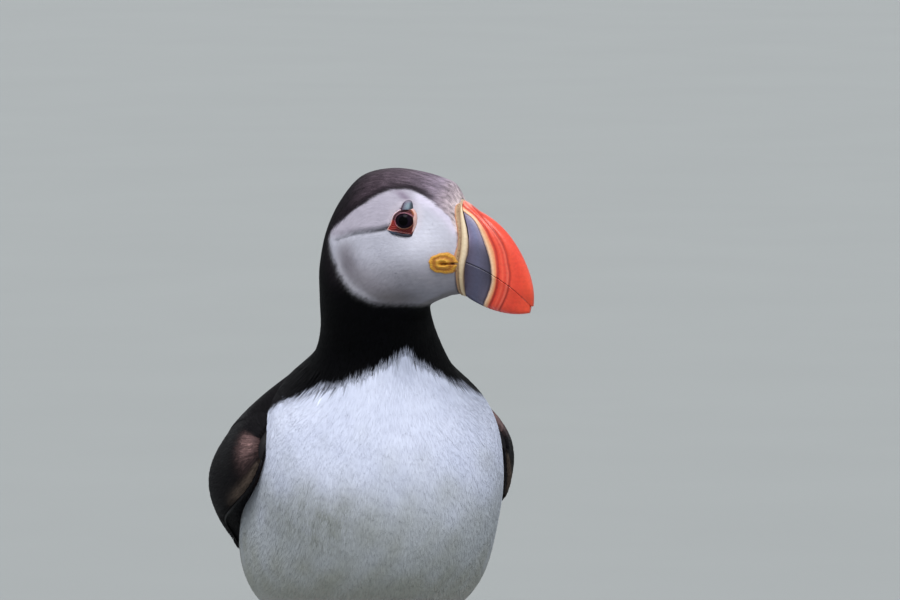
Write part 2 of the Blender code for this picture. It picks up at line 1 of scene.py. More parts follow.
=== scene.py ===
"""Atlantic puffin, life size: one feathered skin, layered wing and tail feathers, and a detailed head.

Sizes are in millimetres in the bird's own frame and become metres where a mesh is made: the floor is
z = 0, the breast faces -Y and +X is the bird's left. Finishes are in metres, as Blender reads them.
"""

from __future__ import annotations

import logging
import math
from collections.abc import Callable
from dataclasses import dataclass, field, replace
from enum import Enum

import bpy
import numpy as np
from mathutils import Matrix


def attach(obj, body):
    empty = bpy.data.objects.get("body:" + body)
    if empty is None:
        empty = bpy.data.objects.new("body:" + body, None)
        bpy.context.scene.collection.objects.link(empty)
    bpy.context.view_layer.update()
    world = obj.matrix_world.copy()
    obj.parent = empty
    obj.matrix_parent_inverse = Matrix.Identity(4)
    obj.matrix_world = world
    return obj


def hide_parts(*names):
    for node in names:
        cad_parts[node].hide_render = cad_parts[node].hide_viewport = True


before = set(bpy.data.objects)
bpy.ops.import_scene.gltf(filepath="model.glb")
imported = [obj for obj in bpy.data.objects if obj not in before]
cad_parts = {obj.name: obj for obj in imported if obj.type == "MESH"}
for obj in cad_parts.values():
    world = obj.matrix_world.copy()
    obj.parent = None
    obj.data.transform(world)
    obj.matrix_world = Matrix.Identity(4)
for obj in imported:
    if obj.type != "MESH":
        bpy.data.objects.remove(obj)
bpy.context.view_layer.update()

LOG = logging.getLogger("puffin")
Array = np.ndarray
Colour = tuple[float, float, float]
Pair = tuple[float, float]
Curve = tuple[Pair, ...]
Material = bpy.types.Material
Socket = bpy.types.NodeSocket

MM = 0.001
ORIGIN = (0.0, 17.4, 0.0)  # the middle of the bird's base, taken as the file's origin
NECK_AXIS_FORWARD = 35.0
HEAD_CENTRE_HEIGHT = 188.0
HEAD_TURN = math.radians(49.0)
HEADING = np.array([math.sin(HEAD_TURN), -math.cos(HEAD_TURN), 0.0])
QUICK_SHARE = 0.3
QUICK_COAT_SHARE = 0.25  # the same for the coat's
BLANK: Colour = (1.0, 1.0, 1.0)


# ---- numbers ------------------------------------------------------------------------------------
def srgb(red: float, green: float, blue: float) -> Colour:
    """Linear colour of a display colour given from 0 to 255."""
    shares = np.array([red, green, blue]) / 255.0
    linear = np.where(shares <= 0.04045, shares / 12.92, ((shares + 0.055) / 1.055) ** 2.4)
    return float(linear[0]), float(linear[1]), float(linear[2])


def ease(start: float, end: float, x: Array) -> Array:
    """Smooth step from 0 at start to 1 at end: 3t^2 - 2t^3 of the clipped share t."""
    t = np.clip((np.asarray(x, float) - start) / (end - start), 0.0, 1.0)
    return t * t * (3 - 2 * t)


def hump(x: Array, middle: float, width: float) -> Array:
    """Bell curve exp(-((x - middle) / width)^2)."""
    return np.exp(-(((x - middle) / width) ** 2))


def round_about(count: int) -> Array:
    """Evenly spaced angles of a full turn, the last one a step before the first."""
    return np.linspace(0, 2 * math.pi, count, endpoint=False)


def through(knots: Array, values: Array, at: Array) -> Array:
    """Cubic curve through values at knots, with slopes taken from the neighbours on each side."""
    knots, values = np.asarray(knots, float), np.asarray(values, float)
    flat = values.reshape(len(knots), -1)
    slopes = np.gradient(flat, knots, axis=0)
    shape = np.shape(at)
    at = np.ravel(at)
    i = np.clip(np.searchsorted(knots, at, side="right") - 1, 0, len(knots) - 2)
    span = (knots[i + 1] - knots[i])[:, None]
    t = (at - knots[i])[:, None] / span
    out = (
        (2 * t**3 - 3 * t**2 + 1) * flat[i]
        + (t**3 - 2 * t**2 + t) * span * slopes[i]
        + (3 * t**2 - 2 * t**3) * flat[i + 1]
        + (t**3 - t**2) * span * slopes[i + 1]
    )
    return out.reshape(shape + values.shape[1:])


def bezier(points: Array | Curve, t: Array) -> Array:
    """Cubic Bezier curves through stacked corners (4, ..., n), at parameters that broadcast with them."""
    first, second, third, last = points
    return (1 - t) ** 3 * first + 3 * t * (1 - t) ** 2 * second + 3 * t**2 * (1 - t) * third + t**3 * last


def ripple(points: Array, wavelength: float, seed: int) -> Array:
    """Smooth uneven field of about -1 to 1: twice the mean of eight sine waves with seeded headings."""
    rng = np.random.default_rng(seed)
    waves = rng.normal(size=(8, points.shape[-1]))
    lengths = np.linalg.norm(waves, axis=1)[:, None]
    waves *= (2 * math.pi / wavelength) * rng.uniform(0.6, 1.5, (8, 1)) / lengths
    return np.sin(points @ waves.T + rng.uniform(0, 2 * math.pi, 8)).mean(-1) * 2.0


def unit(vectors: Array) -> Array:
    """Vectors scaled to length one."""
    return vectors / np.maximum(np.linalg.norm(vectors, axis=-1, keepdims=True), 1e-9)


def mix(first: Array | Colour, second: Array | Colour, share: Array) -> Array:
    """Blend of two colours, (1 - share) * first + share * second, for an array of shares."""
    share = np.asarray(share, float)[..., None]
    return np.asarray(first, float) * (1 - share) + np.asarray(second, float) * share


def painted(base: Array | Colour, *coats: tuple[Colour, Array]) -> Array:
    """Colours of a base under coats laid on in order, each a display colour and the share that it covers."""
    for tone, share in coats:
        base = mix(base, srgb(*tone), share)
    return base


def head_point(forward: Array, sideways: Array, up: Array) -> Array:
    """Place in the bird's frame of points given from the head's centre."""
    forward, sideways, up = np.broadcast_arrays(forward, sideways, up)
    x = forward * math.sin(HEAD_TURN) + sideways * math.cos(HEAD_TURN)
    y = -NECK_AXIS_FORWARD - forward * math.cos(HEAD_TURN) + sideways * math.sin(HEAD_TURN)
    return np.stack([x, y, HEAD_CENTRE_HEIGHT + up], axis=-1)


def from_head(points: Array) -> tuple[Array, Array, Array]:
    """Forward, sideways and up from the head's centre, for points in the bird's frame."""
    x, y = points[..., 0], points[..., 1] + NECK_AXIS_FORWARD
    forward = x * math.sin(HEAD_TURN) - y * math.cos(HEAD_TURN)
    sideways = x * math.cos(HEAD_TURN) + y * math.sin(HEAD_TURN)
    return forward, sideways, points[..., 2] - HEAD_CENTRE_HEIGHT


def distance_to(path: Curve, forward: Array, up: Array) -> tuple[Array, Array]:
    """Distance from places to a line of straight stretches, and the share of the line's length there."""
    line = np.array(path, float)
    lengths = np.linalg.norm(np.diff(line, axis=0), axis=1)
    starts = np.concatenate([[0.0], np.cumsum(lengths)])
    best = np.full(np.shape(forward), np.inf)
    share = np.zeros(np.shape(forward))
    for a, b, start, length in zip(line[:-1], line[1:], starts, lengths):
        t = np.clip(((forward - a[0]) * (b[0] - a[0]) + (up - a[1]) * (b[1] - a[1])) / length**2, 0, 1)
        away = np.hypot(forward - a[0] - t * (b[0] - a[0]), up - a[1] - t * (b[1] - a[1]))
        share = np.where(away < best, (start + t * length) / starts[-1], share)
        best = np.minimum(best, away)
    return best, share


def within(outline: Curve, grown: float, forward: Array, up: Array) -> Array:
    """Whether places lie inside an outline that is scaled about its middle, by counting crossings."""
    corners = np.array(outline, float)
    corners = corners.mean(0) + (corners - corners.mean(0)) * grown
    inside = np.zeros(np.shape(forward), bool)
    for a, b in zip(corners, np.roll(corners, -1, axis=0)):
        between = (a[1] > up) != (b[1] > up)
        rise = b[1] - a[1] if abs(b[1] - a[1]) > 1e-9 else 1e-9
        inside ^= between & (forward < a[0] + (up - a[1]) / rise * (b[0] - a[0]))
    return inside


def closed_curve(outline: Curve, count: int) -> Array:
    """Smooth closed curve through the corners of an outline, (count, 2), evenly parted by corner."""
    corners = np.array(outline, float)
    looped = np.concatenate([corners[-3:], corners, corners[:3]])
    knots = np.arange(len(looped), dtype=float)
    return through(knots, looped, 3.0 + np.arange(count) * len(corners) / count)


class Side(Enum):
    """The bird's left and right."""

    LEFT = 1
    RIGHT = -1

    @property
    def label(self) -> str:
        """Lower-case name used in node and piece names."""
        return self.name.lower()


# ---- meshes -------------------------------------------------------------------------------------
def grid_faces(rows: int, columns: int, wrap_columns: bool = False, wrap_rows: bool = False) -> Array:
    """Quads of a grid of points stored row by row."""
    r = np.arange(rows if wrap_rows else rows - 1)[:, None]
    c = np.arange(columns if wrap_columns else columns - 1)[None, :]
    r2, c2 = (r + 1) % rows, (c + 1) % columns
    corners = [r * columns + c, r * columns + c2, r2 * columns + c2, r2 * columns + c]
    return np.stack(corners, -1).reshape(-1, 4)


def capped_tube(rings: Array) -> tuple[Array, list[Array]]:
    """Closed surface over rings (count, around, 3), each end a fan about its middle point.

    Returns:
        The points, with the two middle points last, and the faces.
    """
    count, around = rings.shape[:2]
    points = np.concatenate([rings.reshape(-1, 3), rings[:1].mean(1), rings[-1:].mean(1)])
    c = np.arange(around)
    first = np.stack([(c + 1) % around, c, np.full(around, count * around)], -1)
    base = (count - 1) * around
    last = np.stack([base + c, base + (c + 1) % around, np.full(around, count * around + 1)], -1)
    return points, [grid_faces(count, around, wrap_columns=True), first, last]


def closed_sheet(top: Array, under: Array) -> tuple[Array, list[Array]]:
    """Closed thin solid from two grids of points with the same outline, (rows, columns, 3) each."""
    rows, columns = top.shape[:2]
    size = rows * columns
    numbers = np.arange(size).reshape(rows, columns)
    edge = np.concatenate([numbers[0], numbers[1:, -1], numbers[-1, -2::-1], numbers[-2:0:-1, 0]])
    following = np.roll(edge, -1)
    wall = np.stack([following, edge, edge + size, following + size], -1)
    flat = grid_faces(rows, columns)
    return np.concatenate([top.reshape(-1, 3), under.reshape(-1, 3)]), [flat, flat[:, ::-1] + size, wall]


@dataclass
class Surface:
    """Points and faces of a piece before it is made, with values that its material reads.

    Fields: points (n, 3) in millimetres; faces, arrays of (m, 3) or (m, 4) point numbers; colours
    (n, 3) for the attribute "coat"; normals (n, 3), if they differ from the faces' own; values, further
    named attributes, each one number or (n,); maps, UV maps of (n, 2).
    """

    points: Array
    faces: list[Array]
    colours: Array | None = None
    normals: Array | None = None
    values: dict[str, float | Array] = field(default_factory=dict)
    maps: dict[str, Array] = field(default_factory=dict)

    def outward_faces(self) -> list[Array]:
        """The faces, turned about if they enclose a negative volume."""
        points, volume = self.points - self.points.mean(0), 0.0
        for block in self.faces:
            for k in range(1, block.shape[1] - 1):
                a, b, c = points[block[:, 0]], points[block[:, k]], points[block[:, k + 1]]
                volume += float(np.einsum("ij,ij->", a, np.cross(b, c)))
        return [block if volume >= 0 else block[:, ::-1] for block in self.faces]

    def make(self, name: str, finish: Material, slot: str, *replaces: str) -> None:
        """Adds the finished piece, riding on the root body, with its place in its mesh.

        Args:
            name: the piece's name.
            finish: its material.
            slot: the record's material slot, not used.
            replaces: the nodes that it stands for.
        """
        blocks = self.outward_faces()
        corners = np.concatenate([block.ravel() for block in blocks]).astype(np.int32)
        sizes = np.concatenate([np.full(len(block), block.shape[1]) for block in blocks])
        mesh = bpy.data.meshes.new(name)
        mesh.vertices.add(len(self.points))
        mesh.vertices.foreach_set("co", ((self.points - ORIGIN) * MM).astype(np.float32).ravel())
        mesh.loops.add(len(corners))
        mesh.loops.foreach_set("vertex_index", corners)
        mesh.polygons.add(len(sizes))
        mesh.polygons.foreach_set("loop_start", np.concatenate([[0], np.cumsum(sizes)[:-1]]).astype(np.int32))
        mesh.polygons.foreach_set("use_smooth", np.full(len(sizes), True))
        mesh.update(calc_edges=True)
        self.store(mesh, blocks)
        mesh.materials.append(finish)
        made = bpy.data.objects.new(name, mesh)
        bpy.context.scene.collection.objects.link(made)
        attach(made, "root")
        if replaces:
            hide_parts(*replaces)
        LOG.info("%s: %d faces", name, len(sizes))

    def store(self, mesh: bpy.types.Mesh, blocks: list[Array]) -> None:
        """Stores colours, values, maps and normals; a face that a map's seam cuts is carried on past 1."""
        if self.colours is not None:
            stored = mesh.attributes.new("coat", "FLOAT_COLOR", "POINT")
            rgba = np.concatenate([self.colours, np.ones((len(self.colours), 1))], axis=1)
            stored.data.foreach_set("color", rgba.astype(np.float32).ravel())
        for key, values in self.values.items():
            every = np.broadcast_to(values, len(self.points)).astype(np.float32)
            mesh.attributes.new(key, "FLOAT", "POINT").data.foreach_set("value", every)
        for key, places in self.maps.items():
            layer = mesh.uv_layers.new(name=key)
            corner_places = [places[block] for block in blocks]
            for block in corner_places:
                block += 0.98 * (np.ptp(block, axis=1, keepdims=True) > 0.5) * (block < 0.5)
            flat = np.concatenate([block.reshape(-1, 2) for block in corner_places])
            layer.data.foreach_set("uv", flat.astype(np.float32).ravel())
        if self.normals is not None:
            mesh.normals_split_custom_set_from_vertices(self.normals.tolist())


# ---- finishes -----------------------------------------------------------------------------------
class Nodes:
    """Adds nodes to a material's tree; every size and depth is in metres."""

    def __init__(self, tree: bpy.types.NodeTree) -> None:
        """Keeps the tree and its shader."""
        self.tree = tree
        self.shader = tree.nodes["Principled BSDF"]

    def add(self, kind: str, inputs: dict[str | int, object], **settings: str) -> bpy.types.Node:
        """New node with its settings, its inputs each given a value or linked from an output."""
        node = self.tree.nodes.new(f"ShaderNode{kind}")
        for key, value in settings.items():
            setattr(node, key, value)
        self.feed(node, inputs)
        return node

    def feed(self, node: bpy.types.Node, inputs: dict[str | int, object]) -> None:
        """Gives a node's inputs their values or links."""
        for key, value in inputs.items():
            if isinstance(value, Socket):
                self.tree.links.new(value, node.inputs[key])
            else:
                node.inputs[key].default_value = value

    def attribute(self, name: str, output: str = "Color") -> Socket:
        """One of the mesh's own attributes."""
        return self.add("Attribute", {}, attribute_name=name).outputs[output]

    def noise(self, size: float, detail: float = 3.0) -> Socket:
        """Noise on object coordinates with features of about the given size."""
        place = self.add("TexCoord", {}).outputs["Object"]
        return self.add("TexNoise", {"Vector": place, "Scale": 1.0 / size, "Detail": detail}).outputs["Fac"]

    def cells(self, size: float) -> Socket:
        """Distance inside rounded cells of about the given size, on object coordinates."""
        place = self.add("TexCoord", {}).outputs["Object"]
        return self.add("TexVoronoi", {"Vector": place, "Scale": 1.0 / size}).outputs["Distance"]

    def ramp(self, value: Socket, *stops: tuple[float, Colour]) -> Socket:
        """Colour by a value of 0 to 1, with one stop for each position and colour."""
        node = self.add("ValToRGB", {"Fac": value})
        elements = node.color_ramp.elements
        for _ in range(len(stops) - 2):
            elements.new(0.5)
        for element, (position, colour) in zip(elements, stops):
            element.position = position
            element.color = (*colour, 1.0)
        return node.outputs["Color"]

    def multiplied(self, first: Socket, second: Socket, share: Socket | float = 1.0) -> Socket:
        """Product of two colours, or as much of it as the share says."""
        inputs = {"Factor": share, "A": first, "B": second}
        return self.add("Mix", inputs, data_type="RGBA", blend_type="MULTIPLY").outputs["Result"]

    def bump(self, height: Socket, depth: float) -> None:
        """Relief of the given depth, on top of any relief that is already there."""
        inputs = {"Height": height, "Distance": depth, "Strength": 1.0}
        if self.shader.inputs["Normal"].links:
            inputs["Normal"] = self.shader.inputs["Normal"].links[0].from_socket
        self.feed(self.shader, {"Normal": self.add("Bump", inputs).outputs["Normal"]})


@dataclass(frozen=True)
class Finish:
    """A material's name and the numbers set on its shader's own sockets."""

    name: str
    roughness: float = 0.6
    sheen: float = 0.0
    coat: float = 0.0
    specular: float = 0.5
    subsurface: float = 0.0

    def make(self) -> Material:
        """New node material with this finish's numbers and its colour and relief."""
        made = bpy.data.materials.new(self.name)
        made.use_nodes = True
        nodes = Nodes(made.node_tree)
        inputs = {
            "Roughness": self.roughness, "Specular IOR Level": self.specular,
            "Sheen Weight": self.sheen, "Sheen Roughness": 0.5,
            "Coat Weight": self.coat, "Coat Roughness": 0.12,
        }
        if self.subsurface:
            inputs |= {"Subsurface Weight": self.subsurface, "Subsurface Scale": 0.004}
            inputs["Subsurface Radius"] = (1.0, 0.35, 0.2)
        nodes.feed(nodes.shader, inputs)
        nodes.feed(nodes.shader, {"Base Color": self.dress(nodes)})
        return made

    def dress(self, nodes: Nodes) -> Socket:
        """Adds the relief and gives the colour; each kind of finish has its own."""
        raise NotImplementedError


@dataclass(frozen=True)
class CoatFinish(Finish):
    """Small feathers: the colours stored on the mesh, mottled a little."""

    mottle: Colour = (0.86, 0.86, 0.87)

    def dress(self, nodes: Nodes) -> Socket:
        """Stored colour times a mottling of 4 mm."""
        spots = nodes.ramp(nodes.noise(0.004), (0.3, self.mottle), (0.62, BLANK))
        return nodes.multiplied(nodes.attribute("coat"), spots)


@dataclass(frozen=True)
class VaneFinish(Finish):
    """Large feathers: stored colours, with barbs slanting from the shaft to the edges."""

    def dress(self, nodes: Nodes) -> Socket:
        """Stored colour, unevenly worn; barbs run along x + y of the vane's own map."""
        place = nodes.add("UVMap", {}, uv_map="vane").outputs["UV"]
        waves = {"Vector": place, "Scale": 9.0, "Distortion": 1.2}
        barbs = nodes.add("TexWave", waves, bands_direction="DIAGONAL")
        nodes.bump(barbs.outputs["Fac"], 0.00008)
        worn = nodes.ramp(nodes.noise(0.0025), (0.3, (0.8, 0.8, 0.82)), (0.66, (1.12, 1.1, 1.08)))
        return nodes.multiplied(nodes.attribute("coat"), worn)


@dataclass(frozen=True)
class BillFinish(Finish):
    """Horn of the bill: slate base, pale ridge and red outer part, by the stored band number.

    Fields: bands, the display colour at each share of the way from the base, band 0, to the tip, band 4.
    """

    # the dark stops at 0.243, 0.512 and 0.752 fall in the grooves that Bill.relief presses in and the light
    # ones at 0.62 and 0.72 on its raised lines: painted shade and highlight
    bands: tuple[tuple[float, Colour], ...] = (
        (0.00, (120, 112, 134)), (0.03, (84, 78, 104)), (0.13, (82, 82, 108)), (0.22, (98, 92, 114)),
        (0.243, (58, 46, 64)), (0.254, (224, 184, 160)), (0.30, (244, 204, 168)), (0.36, (240, 184, 138)),
        (0.455, (232, 140, 96)), (0.485, (214, 74, 46)), (0.512, (184, 44, 28)), (0.56, (232, 68, 46)),
        (0.62, (246, 92, 66)), (0.67, (226, 64, 44)), (0.72, (238, 104, 82)), (0.738, (232, 84, 62)),
        (0.752, (176, 44, 30)), (0.775, (238, 76, 50)), (0.83, (232, 68, 44)), (1.00, (244, 84, 50)),
    )

    def dress(self, nodes: Nodes) -> Socket:
        """Colour of the band, its edges wandering a little, times the stored tint and faint streaks."""
        band = {0: nodes.noise(0.0022), 1: 0.05, 2: nodes.attribute("band", "Fac")}
        wandering = nodes.add("Math", band, operation="MULTIPLY_ADD").outputs[0]
        share = nodes.add("Math", {0: wandering, 1: 4.0}, operation="DIVIDE").outputs[0]
        horn = nodes.ramp(share, *((position, srgb(*tone)) for position, tone in self.bands))
        streaks = nodes.ramp(nodes.noise(0.0011, 4.0), (0.3, (0.88, 0.86, 0.86)), (0.6, BLANK))
        nodes.bump(nodes.noise(0.0012, 5.0), 0.00006)
        return nodes.multiplied(nodes.multiplied(horn, nodes.attribute("coat")), streaks)


@dataclass(frozen=True)
class SkinFinish(Finish):
    """Bare skin and horn: stored colours with fine raised grains, or with pits."""

    grain: float = 0.0007
    depth: float = 0.00012
    pitted: bool = False

    def dress(self, nodes: Nodes) -> Socket:
        """Stored colour with painted shade, darker in the pits or between the grains as far as the mesh's
        pits say.
        """
        cells = nodes.cells(self.grain)
        if self.pitted:
            shade = nodes.ramp(cells, (0.12, (0.45, 0.36, 0.30)), (0.34, BLANK))
        else:
            shade = nodes.ramp(cells, (0.35, BLANK), (0.75, (0.74, 0.70, 0.68)))
        nodes.bump(cells, self.depth if self.pitted else -self.depth)
        nodes.bump(nodes.noise(0.0004), self.depth * 0.5)
        return nodes.multiplied(nodes.attribute("coat"), shade, nodes.attribute("pits", "Fac"))


@dataclass(frozen=True)
class EyeFinish(Finish):
    """Eyeball: a black pupil in a very dark brown iris under a clear wet coat."""

    pupil: Colour = (0.0005, 0.0005, 0.0008)
    iris: tuple[tuple[float, Colour], ...] = ((0.52, (20, 14, 26)), (0.85, (26, 12, 24)), (1.0, (30, 6, 12)))

    def dress(self, nodes: Nodes) -> Socket:
        """Colour by the stored distance from the pupil's centre."""
        rings = [(0.0, self.pupil), (0.46, self.pupil)] + [(share, srgb(*tone)) for share, tone in self.iris]
        return nodes.ramp(nodes.attribute("iris", "Fac"), *rings)


@dataclass(frozen=True)
class FloorFinish(Finish):
    """Studio floor, faintly uneven."""

    colour: Colour = srgb(138, 142, 142)

    def dress(self, nodes: Nodes) -> Socket:
        """The colour and a slightly darker one, in patches of 15 cm."""
        low = tuple(0.97 * c for c in self.colour)
        return nodes.ramp(nodes.noise(0.15), (0.3, low), (0.7, self.colour))


# ---- the bird's form ----------------------------------------------------------------------------
@dataclass(frozen=True)
class Station:
    """One cross-section of trunk, neck and head.

    Fields: turn of its middle plane in degrees; dorsal and ventral, each (forward of the neck axis,
    height); half_width; widest, how far down it is widest (0 dorsal, 1 ventral); upper and lower, the
    powers of its superellipse; coat, the depth of feathers over the skin.
    """

    turn: float
    dorsal: Pair
    ventral: Pair
    half_width: float
    widest: float
    upper: float
    lower: float
    coat: float


STATIONS = {
    "tail_root": Station(0, (-104, 45), (-96, 33), 9, 0.50, 2.0, 2.0, 1.5),
    "rump": Station(0, (-101, 57), (-80, 29), 22, 0.50, 2.0, 2.1, 2.2),
    "vent": Station(0, (-96, 72), (-60, 30), 35, 0.52, 2.0, 2.2, 2.6),
    "flank": Station(0, (-90, 88), (-36, 33), 45, 0.54, 2.0, 2.3, 2.8),
    "belly": Station(0, (-82, 104), (-11, 41), 48.5, 0.54, 2.0, 2.3, 3.0),
    "low_breast": Station(0, (-72, 119), (8, 57), 48.5, 0.53, 2.0, 2.2, 3.0),
    "breast": Station(0, (-61, 133), (18, 80), 48, 0.52, 2.0, 2.2, 3.0),
    "high_breast": Station(0, (-49, 142), (18, 105), 42.5, 0.52, 2.0, 2.2, 2.8),
    "collar": Station(2, (-40, 150.5), (12, 127), 28.5, 0.52, 2.0, 2.1, 2.3),
    "low_neck": Station(10, (-34, 160), (7, 143), 24, 0.52, 2.0, 2.0, 2.0),
    "neck": Station(25, (-31.5, 171), (8, 153.5), 23.5, 0.53, 2.0, 2.0, 1.7),
    "nape": Station(40, (-30, 182.5), (10, 161), 24, 0.55, 2.0, 2.0, 1.4),
    "high_nape": Station(49, (-27.2, 193.8), (12, 163.8), 23.5, 0.57, 2.0, 2.1, 1.15),
    "hind_crown": Station(49, (-21.5, 205.6), (14, 165.3), 22.5, 0.59, 2.0, 2.2, 1.0),
    "rear_crown": Station(49, (-13.2, 214.6), (16, 166.3), 22, 0.60, 2.0, 2.3, 0.95),
    "crown": Station(49, (-2.5, 217.5), (18.3, 167.3), 21.5, 0.60, 2.0, 2.3, 0.9),
    "eye": Station(49, (9.5, 216.8), (20.8, 168.2), 19.8, 0.60, 2.0, 2.3, 0.75),
    "lores": Station(49, (19.7, 214.5), (23.6, 169.2), 16, 0.61, 1.9, 2.2, 0.55),
    "forehead": Station(49, (25.0, 212.4), (25.8, 169.6), 13.3, 0.615, 1.8, 2.1, 0.4),
    "bill_base": Station(49, (27.5, 206.3), (27.5, 170), 10.5, 0.62, 1.7, 2.0, 0.3),
}


class Lattice:
    """Grid of surface points that can be read anywhere between its rows and columns."""

    def __init__(
        self, rows: Array, columns: Array, points: Array, wrap: bool, outward: Array | None = None
    ) -> None:
        """Stores the grid and works out its directions.

        Args:
            rows: the value of the first parameter at each row.
            columns: the value of the second parameter at each column, evenly spaced.
            points: (rows, columns, 3) in millimetres.
            wrap: whether the last column is followed by the first.
            outward: (rows, columns, 3), roughly outward; away from the rows' middles if not given.
        """
        self.rows, self.columns, self.points, self.wrap = rows, columns, points, wrap
        self.along = np.gradient(points, rows, axis=0)
        self.step = columns[1] - columns[0]
        if wrap:
            self.across = (np.roll(points, -1, 1) - np.roll(points, 1, 1)) / (2 * self.step)
        else:
            self.across = np.gradient(points, self.step, axis=1)
        out = points - points.mean(1, keepdims=True) if outward is None else outward
        normals = unit(np.cross(self.along, self.across))
        self.normals = normals * np.sign(np.einsum("ijk,ijk->ij", normals, out))[..., None]

    def read(self, values: Array, row: Array, column: Array) -> Array:
        """Values of a grid (rows, columns, …) at the given parameters, by bilinear interpolation."""
        r = np.interp(row, self.rows, np.arange(len(self.rows)))
        c = (column - self.columns[0]) / self.step
        count = len(self.columns)
        if not self.wrap:
            c = np.clip(c, 0, count - 1.001)
        r0 = np.clip(r.astype(int), 0, len(self.rows) - 2)
        c0 = np.floor(c).astype(int)
        a, b = r - r0, c - c0
        left, right = c0 % count, (c0 + 1) % count
        if values.ndim > 2:
            a, b = a[..., None], b[..., None]
        low = values[r0, left] * (1 - b) + values[r0, right] * b
        high = values[r0 + 1, left] * (1 - b) + values[r0 + 1, right] * b
        return low * (1 - a) + high * a

    def surface(self, row: Array, column: Array) -> tuple[Array, Array]:
        """Points and outward directions at the given parameters."""
        return self.read(self.points, row, column), self.read(self.normals, row, column)

    def places(self, row: Array, column: Array) -> Array:
        """Places in the baking map, (n, 2), for the given parameters."""
        u = (row - self.rows[0]) / (self.rows[-1] - self.rows[0])
        width = 2 * math.pi if self.wrap else self.columns[-1] - self.columns[0]
        v = (column - self.columns[0]) / width
        return np.stack([0.01 + 0.98 * u, 0.01 + 0.98 * (v % 1.0)], -1)


@dataclass
class Form:
    """The lofted form of trunk, neck and head that the skin and the coat lie on.

    Fields: thigh, the middle of each thigh's lower end as sideways, y and height; thigh_size, its half
    sizes; base_bulge, how far the bill's base swells forward at base_middle above the head's centre, as
    a parabola that falls to none at base_half_height from there; neck_top, the distance along the body
    from which rings lie closer.
    """

    thigh: tuple[float, float, float] = (22.5, 6.0, 30.6)
    thigh_size: Pair = (9.0, 10.0)
    base_bulge: float = 3.0
    base_middle: float = 1.0
    base_half_height: float = 21.0
    neck_top: float = 188.0

    def __post_init__(self) -> None:
        """Places the stations and works out the lattice of the coat's outside."""
        rows = list(STATIONS.values())
        turns = np.radians([row.turn for row in rows])
        heading = np.stack([np.sin(turns), -np.cos(turns), 0 * turns], axis=1)
        axis = np.array([0.0, -NECK_AXIS_FORWARD, 0.0])

        def placed(pairs: list[Pair]) -> Array:
            flat = np.array(pairs, float)
            return axis + flat[:, :1] * heading + flat[:, 1:] * np.array([0.0, 0.0, 1.0])

        self.dorsal = placed([row.dorsal for row in rows])
        self.ventral = placed([row.ventral for row in rows])
        steps = np.linalg.norm(np.diff(self.dorsal, axis=0), axis=1)
        steps = (steps + np.linalg.norm(np.diff(self.ventral, axis=0), axis=1)) / 2
        self.knots = np.concatenate([[0.0], np.cumsum(steps)])
        shape = [[row.half_width, row.widest, row.upper, row.lower] for row in rows]
        self.shape = np.column_stack([turns, np.array(shape, float)])
        self.coat_depths = np.array([row.coat for row in rows])
        self.end = float(self.knots[-1])
        self.lores = float(self.knots[list(STATIONS).index("lores")])
        low, high = np.linspace(0, self.neck_top, 171), np.linspace(self.neck_top, self.end, 151)
        at, angle = np.concatenate([low[:-1], high]), round_about(256)
        self.lattice = Lattice(at, angle, self.outside(at, angle), wrap=True)

    def coat(self, s: Array) -> Array:
        """Depth of the coat at distances along the body."""
        return np.interp(s, self.knots, self.coat_depths)

    def outside(self, at: Array, angle: Array) -> Array:
        """Rings of points on the coat's outside.

        Each ring is a superellipse in the plane of its dorsal and ventral points: height and width follow
        sign(cos a)|cos a|^(2/p) and sign(sin a)|sin a|^(2/p). Near the bill the rings swell forward to the
        bill's curved base, and under the belly they drop to the two thighs.
        """
        dorsal, ventral = through(self.knots, self.dorsal, at), through(self.knots, self.ventral, at)
        turn, half_width, widest, upper, lower = through(self.knots, self.shape, at).T
        left = np.stack([np.cos(turn), np.sin(turn), 0 * turn], axis=1)
        centre = dorsal + (ventral - dorsal) * widest[:, None]
        c, s = np.cos(angle)[None, :], np.sin(angle)[None, :]
        power = 2.0 / np.where(c >= 0, upper[:, None], lower[:, None])
        rise, side = np.sign(c) * np.abs(c) ** power, np.sign(s) * np.abs(s) ** power
        up = unit(dorsal - ventral)
        above = np.linalg.norm(dorsal - centre, axis=1)[:, None]
        below = np.linalg.norm(ventral - centre, axis=1)[:, None]
        height = np.where(rise >= 0, above, below) * rise
        width = half_width[:, None] * side
        points = centre[:, None] + up[:, None] * height[..., None] + left[:, None] * width[..., None]
        near_bill = np.clip((at - self.lores) / (self.end - self.lores), 0, 1) ** 2
        level = points[..., 2] - HEAD_CENTRE_HEIGHT
        swell = self.base_bulge * (1 - ((level - self.base_middle) / self.base_half_height) ** 2)
        points = points + HEADING * (swell * near_bill[:, None])[..., None]
        (x, y, z), (wide, deep) = self.thigh, self.thigh_size
        reach = np.hypot((np.abs(points[..., 0]) - x) / wide, (points[..., 1] - y) / deep)
        drop = np.exp(-(reach**3.2)) * (c < -0.3) * ease(70.0, 56.0, points[..., 2])
        points[..., 2] += (z - points[..., 2]) * drop
        return points


